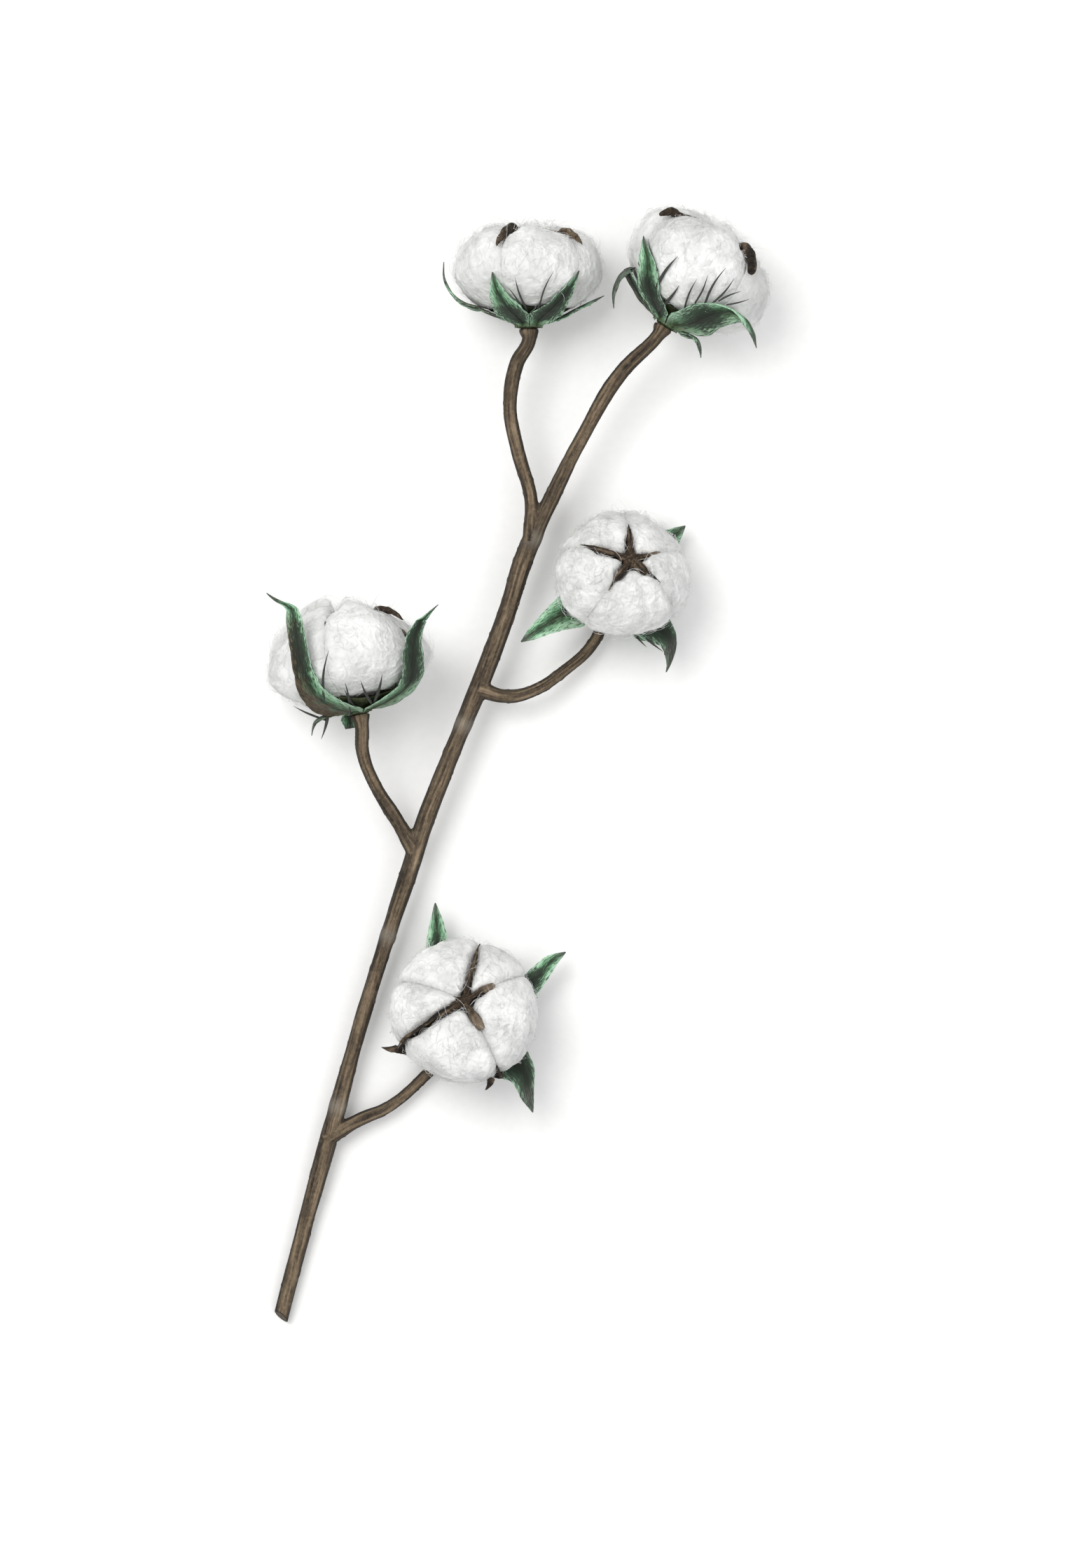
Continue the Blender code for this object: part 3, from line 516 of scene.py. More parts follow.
def lock_reach(boll, along, across, rise, heart, half, size, wall, rounding):
    """How far the lint reaches from a lock's heart, in many directions at once."""
    radius = boll.radius * size
    height = np.where(rise > 0, boll.above, boll.below) * size
    square = (along ** 2 + across ** 2) / radius ** 2 + (rise / height) ** 2
    slope = heart * along / radius ** 2
    rest = (heart / radius) ** 2 - 1.0
    reach = (-slope + np.sqrt(slope ** 2 - square * rest)) / square
    nearness = (1.0 / reach) ** rounding
    distance = heart * math.sin(half) - wall
    for way in (1.0, -1.0):
        facing = way * across * math.cos(half) - along * math.sin(half)
        nearness = nearness + (np.maximum(facing, 0) / distance) ** rounding
    return nearness ** (-1.0 / rounding)


def fluff(points, seed):
    """Billows and tufts of lint, in millimetres outwards."""
    warped = points + LINT_WARP * np.stack([noise(points, 4.0, seed + way) for way in (5, 6, 7)], axis=-1)
    large = noise(points, LUMP_SIZES[0], seed)
    billow, tuft = (1 - np.abs(noise(warped, LUMP_SIZES[level], seed + level)) for level in (1, 2))
    fine = noise(warped, LUMP_SIZES[3], seed + 3)
    return (LUMP_DEPTHS[0] * large + LUMP_DEPTHS[1] * (billow - LUMP_LEVEL)
            + LUMP_DEPTHS[2] * (tuft - LUMP_LEVEL) + LUMP_DEPTHS[3] * fine)


def make_fibres(rng, points, normals, boll):
    """Loose fibres that lift off the lint and curl back onto it."""
    count = FIBRES_PER_LOCK
    picks = rng.integers(0, len(points), count)
    start = points[picks]
    outward = normals[picks]
    leaning = boll.up * 1.2 + rng.normal(size=(count, 3)) * 0.9
    tangent = unit(leaning - outward * np.sum(leaning * outward, axis=1, keepdims=True))
    across = np.cross(outward, tangent)
    length = rng.uniform(*FIBRE_LENGTHS, (count, 1, 1))
    lift = rng.uniform(0.1, 1.0, (count, 1, 1)) ** 1.5 * FIBRE_LIFT
    wave = rng.uniform(-FIBRE_WAVE, FIBRE_WAVE, (count, 1, 1))
    share = np.linspace(0, 1, FIBRE_STEPS)[None, :, None]
    sink = (length * share) ** 2 / (2 * FIBRE_FALL)
    routes = (start[:, None] + tangent[:, None] * length * share
              + outward[:, None] * (lift * np.sin(math.pi * share) - sink * 0.9 - 0.05)
              + across[:, None] * wave * np.sin(math.pi * 1.3 * share))
    taper = 1 - 0.6 * np.linspace(-1, 1, FIBRE_STEPS)[None] ** 2
    thick = rng.uniform(*FIBRE_THICKNESS, (count, 1)) * taper
    routes[..., 2] = np.maximum(routes[..., 2], 0.12)
    return tubes(routes, thick)


def make_lock(name, boll, index, template):
    """One lock: billowed lint that closes over the septa away from the centre."""
    directions, faces = template
    seed = boll.number * 10 + index
    count = len(boll.gaps)
    gaps = boll.gaps + (boll.gaps[0] + 360,)
    start, end = gaps[index - 1], gaps[index]
    half = math.radians(end - start) / 2
    middle_azimuth = (start + end) / 2
    along_axis = boll.direction(middle_azimuth)
    across_axis = boll.direction(middle_azimuth + 90)
    heart = LOCK_HEART * boll.radius
    heart_at = boll.place(heart, middle_azimuth, boll.middle)
    along = directions @ along_axis
    across = directions @ across_axis
    rise = directions @ boll.up

    def spread(values):
        """A lock's own value, blended halfway to its neighbour's near each seam."""
        own, before, after = values[index - 1], values[index - 2], values[index % count]
        other = np.where(across > 0, after, before)
        angle = np.abs(np.arctan2(points_aside, np.maximum(points_deep, 1e-6)))
        near = smoothstep(0.25, 1.0, angle / half)
        return own * (1 - near * 0.5) + other * near * 0.5

    reach = lock_reach(boll, along, across, rise, heart, half, 1.0, 0.0, FIRST_EDGE)
    points_deep = heart + along * reach
    points_aside = across * reach
    size = spread(boll.swell)
    radius = np.hypot(points_deep, points_aside)
    sag = sagged(spread(boll.sags()), radius / boll.radius)
    height = boll.middle + rise * reach
    share = radius / boll.radius + np.maximum(0, boll.middle + 3 - height) / boll.radius * 2.5
    before, after = (boll.ridge(boll.gaps[gap])[1] for gap in (index - 1, index % count))
    shut_at = np.where(across > 0, after, before)
    shut = smoothstep(shut_at + SEAM_SHUTS[0], shut_at + SEAM_SHUTS[1], share)
    merge = MERGE.get(boll.number, 1.0)
    reach = lock_reach(boll, along, across, np.where(rise > 0, rise / sag, rise), heart, half, size,
                       LOCK_WALL[0] - LOCK_WALL[1] * shut, LOCK_EDGES[0] + LOCK_EDGES[1] * merge * shut ** 2)
    points = heart_at + directions * reach[:, None]
    away = points - boll.foot
    deep = away @ along_axis
    aside = away @ across_axis
    to_wall = np.maximum(0, deep * math.sin(half) - np.abs(aside) * math.cos(half))
    seam = np.exp(-(to_wall / SEAM_WIDTH) ** 2)
    outward = unit(points - boll.foot - boll.up * (boll.middle - 4))
    rough = fluff(points, 40 + boll.number)
    streak = noise(np.stack([aside, deep * 0.35, height * 0.35], axis=-1), 1.5, seed)
    radius, _, height = boll.terms(points)
    polar = np.degrees(np.arctan2(radius, (boll.middle - height) * boll.radius / boll.below))
    bulge = LINT_BULGE * smoothstep(20, 36, polar) * smoothstep(94, 62, polar)
    bulge = (bulge + LINT_UNEVEN * noise(points, 20.0, 60 + boll.number)
             - SEAM_NOTCH[1] * (1 - merge) * seam * shut)
    lift = (rough * (1 - 0.6 * seam * (1 - shut)) + STREAK_DEPTH * streak * (1 - seam)
            - SEAM_NOTCH[0] * seam * shut + bulge)
    points = points + outward * lift[:, None]
    drawn = boll.drawn_in(1 - spread(boll.sags()), height)
    level = boll.foot + np.outer((points - boll.foot) @ boll.up, boll.up)
    points = level + (points - level) * (1 - drawn)[:, None]
    points[:, 2] = np.maximum(points[:, 2], GROUND_GAP)
    groove = seam * (1 - shut) * smoothstep(0, 6, height - boll.middle + 4)
    shell = mesh_object(name, (points, [faces]))
    normals = read_vectors(shell.data, "normal")
    bpy.data.objects.remove(shell)
    rng = np.random.default_rng(FIBRE_SEED + seed)
    body = joined([(points, [faces]), make_fibres(rng, points, normals, boll)])
    rest = np.zeros(len(body[0]) - len(points))
    _, _, heights = boll.terms(body[0])
    return mesh_object(name, body, {
        # painted shade: grey in the dips of the fluff
        "hollow_shade": np.concatenate([np.clip(0.25 - rough, 0, 1), rest]),
        # painted shade: grey along seams where two locks have closed together
        "seam": np.concatenate([seam * shut, rest]),
        "groove": np.concatenate([groove, rest]),
        "foot_tint": smoothstep(boll.middle - boll.below * 0.45, boll.middle - boll.below, heights),
    })


# ---- bracts -----------------------------------------------------------------
def bract_room(boll, azimuth):
    others = [other for other, _ in boll.bracts if other % 360 != azimuth % 360]
    left = min((other - azimuth) % 360 for other in others)
    right = min((azimuth - other) % 360 for other in others)
    return left / 2 - BRACT_SPACE / 2, right / 2 - BRACT_SPACE / 2


def veins_pattern(place, share):
    """Side veins that leave the midrib and bend towards the tip: 0 to 1."""
    slant = place * 9 - np.abs(share) ** 1.4 * 1.6
    wave = 0.5 + 0.5 * np.cos(slant * 2 * math.pi)
    return wave ** 5 * smoothstep(0.04, 0.2, np.abs(share))


def make_bract(name, boll, index, azimuth, spine):
    """A leaf with a midrib, veins, rolled edges and long thin teeth."""
    key = (boll.number, index)
    seed = boll.number * 10 + index
    room_left, room_right = bract_room(boll, azimuth)
    share = np.linspace(-1, 1, LEAF_COLUMNS)[None, :]
    aside = np.abs(share)
    place = np.linspace(0, 1, LEAF_ROWS * len(spine))
    turn, radius, height, half_width = along_points([(spine[0][0], *LEAF_ROOT)] + spine, place).T
    radius, height = (values[:, None] for values in boll.pushed_out(radius, height, BRACT_OFFSET))
    half_width = np.maximum(half_width, LEAF_LEAST)[:, None]
    ragged = 1 + LEAF_RAGGED * noise(np.stack([place * 90, 0 * place, 0 * place + seed], axis=-1), 2.2, seed)
    place = place[:, None]
    room = np.where(share > 0, room_left, room_right)
    swing = share * np.minimum(np.degrees(half_width / radius), room)
    grid = boll.place(radius, azimuth + turn[:, None] + swing, height)
    normals = unit(np.cross(np.gradient(grid, axis=1), np.gradient(grid, axis=0)))
    midline = grid[:, LEAF_COLUMNS // 2][:, None]
    ripple = noise(grid, 4.5, seed) * aside ** 2 * LEAF_RIPPLE
    roll = aside ** 4 * np.minimum(half_width * 0.2, 1.5)
    lift = np.maximum(ripple * np.minimum(half_width / 5, 1) + roll, 0)
    inner = midline + (grid - midline) * ragged[:, None, None] + normals * lift[..., None]
    veins = veins_pattern(place, share)
    body = (LEAF_THICK[0] - LEAF_THICK[1] * aside ** 2) * np.minimum(0.45 + half_width / 6, 1)
    rib = RIB[0] * np.exp(-(share * half_width / RIB[1]) ** 2) * np.minimum(half_width / 3, 1)
    thick = body + rib + VEIN_HEIGHT * veins * np.minimum(half_width / 5, 1)
    outer = inner + normals * thick[..., None]
    for sheet in (inner, outer):
        sheet[..., 2] = np.maximum(sheet[..., 2], 0.1)
    leaf = closed_sheet(inner, outer)
    steps = np.linalg.norm(np.diff(midline[:, 0], axis=0), axis=1)
    outer_side = -1.0 if -180 < azimuth < -90 else 1.0
    blotch = noise(grid, 3.2, seed + 3)
    window = smoothstep(0.08, 0.2, place) * smoothstep(0.78, 0.55, place)
    low, high = LEAF_PAINTED_SHADE.get(key, USUAL_PAINTED_SHADE)
    shade_stretch = smoothstep(low - 0.1, low + 0.05, place) * smoothstep(high + 0.12, high - 0.05, place)
    point = LEAF_POINT.get(key, USUAL_POINT)
    flat = {
        # edge drives painted shade along the midrib and painted highlight on the margins
        "edge": aside, "reach": place, "vein": veins, "across": share * half_width,
        "along": np.concatenate([[0], np.cumsum(steps)])[:, None],
        "brown": (smoothstep(-0.25, 0.55, outer_side * share + 0.5 * blotch) * window
                  * LEAF_BROWN.get(key, USUAL_BROWN)),
        "point": smoothstep(point, point + 0.14, place),
        # painted shade: near-black strokes down the middle of the leaf
        "dark": shade_stretch * (1 - 0.8 * aside ** 2),
    }
    whole = joined([leaf] + facing_teeth(boll, index) + margin_teeth(boll, index, grid, normals))
    count = len(whole[0]) - len(leaf[0])
    attributes = {"tooth": np.concatenate([np.zeros(len(leaf[0])), np.ones(count)])}
    for label, values in flat.items():
        sheet = np.broadcast_to(values, grid.shape[:2]).ravel()
        attributes[label] = np.concatenate([sheet, sheet, np.full(count, 0.5)])
    return mesh_object(name, whole, attributes)


def tooth_radii(radius, share):
    return radius * (1 - share) ** 0.7 * (0.7 + 0.5 * np.sin(math.pi * share)) + 0.05


def facing_teeth(boll, index):
    """Teeth that lie over the lint on the boll's upward side."""
    share = np.linspace(0, 1, 11)
    bodies = []
    for number, (x0, h0, x1, h1, radius) in enumerate(TEETH.get((boll.number, index), [])):
        length = math.hypot(x1 - x0, h1 - h0)
        reached = (share * (length + TOOTH_ROOT) - TOOTH_ROOT) / length
        across = x0 + (x1 - x0) * reached
        height = h0 + (h1 - h0) * reached
        across = across + 0.08 * length * (1 if number % 2 else -1) * np.sin(math.pi * share)
        over = LINT_BULGE + TOOTH_CLEAR
        rise = (height - boll.middle) / (np.where(height > boll.middle, boll.above, boll.below) + over)
        wide = (boll.radius + over) * np.sqrt(np.clip(1 - rise ** 2, 0.02, 1))
        depth = np.sqrt(np.maximum(wide ** 2 - across ** 2, 4.0))
        if (boll.number, index) in FREE_TEETH:
            depth = 3.0 + 2.0 * share
        route = (boll.foot + np.outer(height, boll.up) + np.outer(across, boll.out)
                 - np.outer(depth, boll.side))
        bodies.append(tubes(route[None], tooth_radii(radius, share)[None], TOOTH_SIDES))
    return bodies


def margin_teeth(boll, index, grid, normals):
    """Short curved teeth that leave a margin of the leaf."""
    share = np.linspace(0, 1, 9)[:, None]
    bodies = []
    for side, place, length in EDGE_TEETH.get((boll.number, index), []):
        row = int(place * (grid.shape[0] - 1))
        column = 0 if side < 0 else grid.shape[1] - 1
        inward = 1 if side < 0 else -1
        start = grid[row, column] * 0.5 + grid[row, column + 3 * inward] * 0.5
        outwards = unit(grid[row, column] - grid[row, column + inward])
        forwards = unit(grid[row + 2, column] - grid[row - 2, column])
        lean = unit(outwards * 0.45 + forwards)
        route = start + normals[row, column] * 0.6 + lean * length * share + forwards * share ** 2
        bodies.append(tubes(route[None], tooth_radii(0.5, share[:, 0])[None], TOOTH_SIDES))
    return bodies


# ---- burrs ------------------------------------------------------------------
def clear_polar(boll, azimuth, polar):
    while polar > VALLEY_TOP:
        radius, height = boll.bowl(polar)
        if boll.place(radius + BOWL_THICK, azimuth, height)[2] > TABLE_CLEAR:
            break
        polar -= 1.0
    return polar


def valve_top(boll, azimuth):
    if (boll.number, azimuth) in TIPS:
        return clear_polar(boll, azimuth, TIP_TOP)
    return clear_polar(boll, azimuth, max(VALVE_TOP * VALVE_HIDE, VALLEY_TOP + 2))


def gap_rim(boll, azimuth):
    """Polar angle of the bowl's rim and its lean at any azimuth."""
    count = len(boll.gaps)
    for index, start in enumerate(boll.gaps):
        span = (boll.gaps[(index + 1) % count] - start) % 360
        share = ((azimuth - start) % 360) / span
        if share < 1.0:
            break
    nearest = start if share < 0.5 else boll.gaps[(index + 1) % count]
    closeness = 1 - min(share, 1 - share) * 2
    sharp = 5.0 if nearest in boll.flare else 2.1
    rim = VALLEY_TOP + (valve_top(boll, nearest) - VALLEY_TOP) * closeness ** sharp
    lean = boll.flare.get(nearest, 0.0) * max(0.0, closeness * 4 - 3)
    return clear_polar(boll, azimuth, rim), lean


def bowl_solid(boll):
    """The bowl with its pointed valves, as a thin closed solid."""
    rows, columns = BOWL_GRID
    inner = np.zeros((rows, columns + 1, 3))
    outer = np.zeros((rows, columns + 1, 3))
    for index in range(columns + 1):
        azimuth = index % columns * 360.0 / columns + boll.gaps[0]
        rim, lean = gap_rim(boll, azimuth)
        polar = np.linspace(3.0, rim, rows)
        radius, height = boll.bowl(polar, lean)
        thick = BOWL_THICK * (1 - 0.35 * (polar / rim) ** 3)
        turn = np.radians(polar)
        inner[:, index] = boll.place(radius, azimuth, height)
        outer[:, index] = boll.place(radius + thick * np.sin(turn), azimuth, height - thick * np.cos(turn))
    return closed_sheet(inner, outer)


def plate_reach(boll, azimuth, clear):
    fall = -boll.direction(azimuth)[2]
    reach = boll.radius * 0.90
    return min(reach, boll.foot[2] / fall - clear) if fall > 0.5 else reach


def septum_solid(boll, azimuth):
    """One septum: a thin radial plate from the post out into a valve."""
    steps, levels = SEPTUM_GRID
    outer_polar = np.linspace(4, valve_top(boll, azimuth) - 5, steps)
    outer_radius, outer_height = boll.bowl(outer_polar, boll.flare.get(azimuth, 0.0))
    turn = np.radians(np.linspace(84, 2, steps))
    crest_radius = plate_reach(boll, azimuth, TABLE_CLEAR) * np.sin(turn)
    crest_height = (boll.middle + boll.above * boll.crest * np.cos(turn)
                    * boll.seam_sag(azimuth, crest_radius / boll.radius))
    blend = np.linspace(0, 1, levels)[:, None]
    radius = (outer_radius + 0.4)[::-1] * (1 - blend) + crest_radius * blend
    height = outer_height[::-1] * (1 - blend) + crest_height * blend
    half = SEPTUM_THICK[0] + SEPTUM_THICK[1] * np.linspace(0, 1, steps)[None, :] ** 2 + 0 * radius
    aside = boll.direction(azimuth + 90) * half[..., None]
    middle = boll.place(radius, azimuth, height)
    return closed_sheet(middle - aside, middle + aside)


def ridge_solid(boll, azimuth):
    """The rounded ridge on a septum, in its groove or standing on the lint's skin."""
    share, size, skin = along_points(boll.ridge(azimuth)[0], np.linspace(0, 1, 60)).T
    reach = plate_reach(boll, azimuth, TABLE_CLEAR + 1.6)
    if azimuth in boll.flare or boll.direction(azimuth)[2] > -0.2:
        reach *= 1.2
    radius = np.minimum(boll.radius * share, reach)
    crest = boll.crest + 0.10 * share
    level = (crest + (0.985 - crest) * np.clip(skin, 0, 1)) * boll.above * boll.seam_sag(azimuth, share)
    proud = np.maximum(skin, 1.0)
    height = boll.middle + proud * level * np.sqrt(np.maximum(0, 1 - (radius / (boll.radius * 1.02)) ** 2))
    radius = radius * proud * (1 - boll.drawn_in(1 - boll.seam_level(azimuth), height))
    wander = noise(np.stack([radius, height, 0 * radius + azimuth], axis=1), 6.0, 5) * 0.9 * share
    route = boll.place(radius, azimuth, height) + boll.direction(azimuth + 90) * wander[:, None]
    lumps = 1 + 0.16 * noise(route, 2.6, 9)
    return tubes(route[None], (np.maximum(size, 0.2) * lumps)[None], sides=12)


def round_solid(boll, heights, radii):
    route = boll.place(0.0, 0.0, np.array(heights, dtype=float))
    return tubes(route[None], np.array(radii, dtype=float)[None], sides=28)


def tip_solid(boll, azimuth):
    """The dry point of a flared valve, curling away from the lint."""
    first, last, length = TIPS[boll.number, azimuth]
    share = np.linspace(0, 1, 18)
    radius, height = boll.bowl(TIP_TOP - 10.0, boll.flare[azimuth] * 0.4)
    turn = first + (last - first) * share ** 1.5
    route = boll.place(radius - 0.6 + length * share, turn, height + 2.6 * share ** 1.5)
    return tubes(route[None], (1.5 * (1 - share) ** 0.8 + 0.28)[None], sides=10)


def melted(name, solids, voxel, smoothing):
    """Closed solids that run into each other, remade as one even skin."""
    raw = mesh_object(name + "_raw", joined(solids), smooth=False)
    remesh = raw.modifiers.new("skin", "REMESH")
    remesh.mode = "VOXEL"
    remesh.voxel_size = voxel * MM
    remesh.adaptivity = 0.0
    relax = raw.modifiers.new("relax", "SMOOTH")
    relax.factor = 0.5
    relax.iterations = smoothing
    graph = bpy.context.evaluated_depsgraph_get()
    mesh = bpy.data.meshes.new_from_object(raw.evaluated_get(graph))
    mesh.name = name
    bpy.data.objects.remove(raw)
    mesh.shade_smooth()
    made = bpy.data.objects.new(name, mesh)
    bpy.context.scene.collection.objects.link(made)
    return made


def make_burr(name, boll):
    """Bowl, septa, ridges, post and neck, melted together and roughened."""
    floor = boll.bowl(0.0)[1]
    post_top = boll.middle + boll.above * boll.crest
    neck = ((0.05, 0.9, 2.4, floor - 0.6, floor + 0.5), (3.7, 4.1, 4.3, 5.2, 4.6))
    post = ((floor - 0.4, boll.middle, post_top - 0.6, post_top + 0.3), (2.2, 1.8, 2.3, 1.7))
    solids = [bowl_solid(boll), round_solid(boll, *neck), round_solid(boll, *post)]
    for azimuth in boll.gaps:
        solids.append(septum_solid(boll, azimuth))
        solids.append(ridge_solid(boll, azimuth))
        if (boll.number, azimuth) in TIPS:
            solids.append(tip_solid(boll, azimuth))
    burr = melted(name, solids, BURR_VOXEL, 4)
    points = read_vectors(burr.data, "co") / MM
    radius, azimuth, height = boll.terms(points)
    turn = np.radians(azimuth)
    streak_at = np.stack([np.cos(turn) * 16, np.sin(turn) * 16, radius * 0.14 + height * 0.1], axis=1)
    streak = noise(streak_at, 1.0, boll.number)
    grain = noise(points, 1.3, boll.number + 7)
    lift = BURR_ROUGH[0] * streak + BURR_ROUGH[1] * grain
    points = points + read_vectors(burr.data, "normal") * lift[:, None]
    points[:, 2] = np.maximum(points[:, 2], 0.1)
    store_points(burr.data, points)
    pale = np.zeros(len(points))
    for at in [gap for number, gap in PALE_RIDGES if number == boll.number]:
        off = np.abs((azimuth - at + 180) % 360 - 180)
        pale = np.maximum(pale, smoothstep(14, 8, off) * smoothstep(0.16, 0.36, radius / boll.radius))
    raised = smoothstep(boll.middle, post_top, height)
    add_attributes(burr.data, {
        "streak": streak,
        "pale": pale * np.clip(0.7 + 0.4 * grain, 0, 1) * raised,
        "heart": smoothstep(0.42, 0.08, radius / boll.radius) * raised,
        "green": smoothstep(boll.middle * 0.62, boll.middle * 0.3, height),
    })
    return burr


# ---- stem -------------------------------------------------------------------
def stalk_end(boll):
    points = []
    for distance, radius in zip(STALK_ENDS, STALK_SWELL):
        point = boll.foot + MIDDLE - boll.up * distance
        points.append((point[0], point[1], point[2], radius))
    return points


def bezier_route(points):
    """The route and radii of a smooth curve through (x, y, z, radius) points."""
    curve = bpy.data.curves.new("route", "CURVE")
    curve.dimensions = "3D"
    curve.resolution_u = 14
    spline = curve.splines.new("BEZIER")
    spline.bezier_points.add(len(points) - 1)
    for knot, (x, y, z, _) in zip(spline.bezier_points, points):
        knot.co = (x, y, z)
        knot.handle_left_type = "AUTO"
        knot.handle_right_type = "AUTO"
    holder = bpy.data.objects.new("route", curve)
    bpy.context.scene.collection.objects.link(holder)
    route = read_vectors(holder.to_mesh(), "co") - MIDDLE
    holder.to_mesh_clear()
    bpy.data.objects.remove(holder)
    place = np.linspace(0, len(points) - 1, len(route))
    whole = np.minimum(place.astype(int), len(points) - 2)
    blend = smoothstep(0, 1, place - whole)
    radii = np.array([point[3] for point in points])
    return route, radii[whole] * (1 - blend) + radii[whole + 1] * blend


def fork_web(main_route, stalk_route, stalk_radii):
    """A wedge of wood that fills the crotch where a stalk leaves the stem."""
    count = 10
    starts = stalk_route[2:2 + count]
    gaps = np.linalg.norm(main_route[None] - starts[:, None], axis=2)
    partner = main_route[np.argmin(gaps, axis=1)]
    middle = starts * 0.55 + partner * 0.45
    thick = stalk_radii[2:2 + count] * np.linspace(1.0, 0.1, count)
    return tubes(middle[None], thick[None], sides=16)


def cut_share(points):
    """1 on the slanted cut face, 0 elsewhere."""
    height = (points - (np.array(CUT_POINT) - MIDDLE)) @ unit(CUT_FACING)
    return smoothstep(-0.25, -0.05, height)


def cut_end(stem):
    """Slice the lower end at a slant and close it."""
    body = bmesh.new()
    body.from_mesh(stem.data)
    everything = body.verts[:] + body.edges[:] + body.faces[:]
    point = (np.array(CUT_POINT) - MIDDLE) * MM
    cut = bmesh.ops.bisect_plane(body, geom=everything, dist=1e-7, plane_co=point.tolist(),
                                 plane_no=unit(CUT_FACING).tolist(), clear_outer=True)
    rim = [item for item in cut["geom_cut"] if isinstance(item, bmesh.types.BMEdge)]
    made = bmesh.ops.holes_fill(body, edges=rim, sides=0)
    poked = bmesh.ops.poke(body, faces=made["faces"])
    edges = list({edge for face in poked["faces"] for edge in face.edges})
    bmesh.ops.subdivide_edges(body, edges=edges, cuts=5, use_grid_fill=True)
    body.to_mesh(stem.data)
    body.free()
    stem.data.shade_smooth()


def make_stem(bolls):
    """The stem: melted tubes with ridged bark, leaf scars and a slanted cut."""
    routes = [bezier_route(MAIN_STEM + stalk_end(bolls[1]))]
    for number, points in STALKS.items():
        routes.append(bezier_route(points + stalk_end(bolls[number - 1])))
    solids = [tubes(route[None], radii[None], sides=24) for route, radii in routes]
    for route, radii in routes[1:]:
        solids.append(fork_web(routes[0][0], route, radii))
    stem = melted("stem_bark", solids, STEM_VOXEL, 6)
    cut_end(stem)
    points = read_vectors(stem.data, "co") / MM
    normals = read_vectors(stem.data, "normal")
    centres = np.vstack([route for route, _ in routes])
    sizes = np.concatenate([radii for _, radii in routes])
    tangents = np.vstack([unit(np.gradient(route, axis=0)) for route, _ in routes])
    lengths = np.concatenate([
        np.concatenate([[0], np.cumsum(np.linalg.norm(np.diff(route, axis=0), axis=1))]) + 1000.0 * branch
        for branch, (route, _) in enumerate(routes)])
    tree = KDTree(len(centres))
    for index, centre in enumerate(centres):
        tree.insert(centre, index)
    tree.balance()
    nearest = np.array([tree.find(point)[1] for point in points])
    ahead = tangents[nearest]
    away = points - centres[nearest]
    forward = np.sum(away * ahead, axis=1)
    along = lengths[nearest] + forward
    first = unit(np.cross(ahead, [0.0, 0.0, 1.0]))
    second = np.cross(ahead, first)
    turn = np.arctan2(np.sum(away * second, axis=1), np.sum(away * first, axis=1))
    twist = turn + along * 0.004
    bark_at = np.stack([np.cos(twist) * 3.4, np.sin(twist) * 3.4, along * 0.05], axis=1)
    ridge = noise(bark_at, 1.0, 3) * 0.7 + noise(bark_at * 2.3, 1.0, 4) * 0.45
    knots = sum(np.exp(-((along - knot) / KNOT_WIDTH) ** 2) for knot in PALE_KNOTS)
    scars = smoothstep(0.5, 0.8, noise(points, 2.0, 12))
    on_cut = cut_share(points)
    uneven = (ridge, noise(points, 9.0, 6), knots, scars)
    lift = sum(depth * values for depth, values in zip(BARK_LIFT, uneven))
    points = points + normals * (lift * (1 - on_cut))[:, None]
    points[:, 2] = np.maximum(points[:, 2], 0.05)
    store_points(stem.data, points)
    across = np.linalg.norm(away - forward[:, None] * ahead, axis=1)
    add_attributes(stem.data, {
        "ridge": ridge, "along": along, "turn": np.cos(turn), "cut": on_cut, "knot": knots,
        "scar": scars, "pith": across / np.maximum(sizes[nearest], 0.1),
    })
    return stem


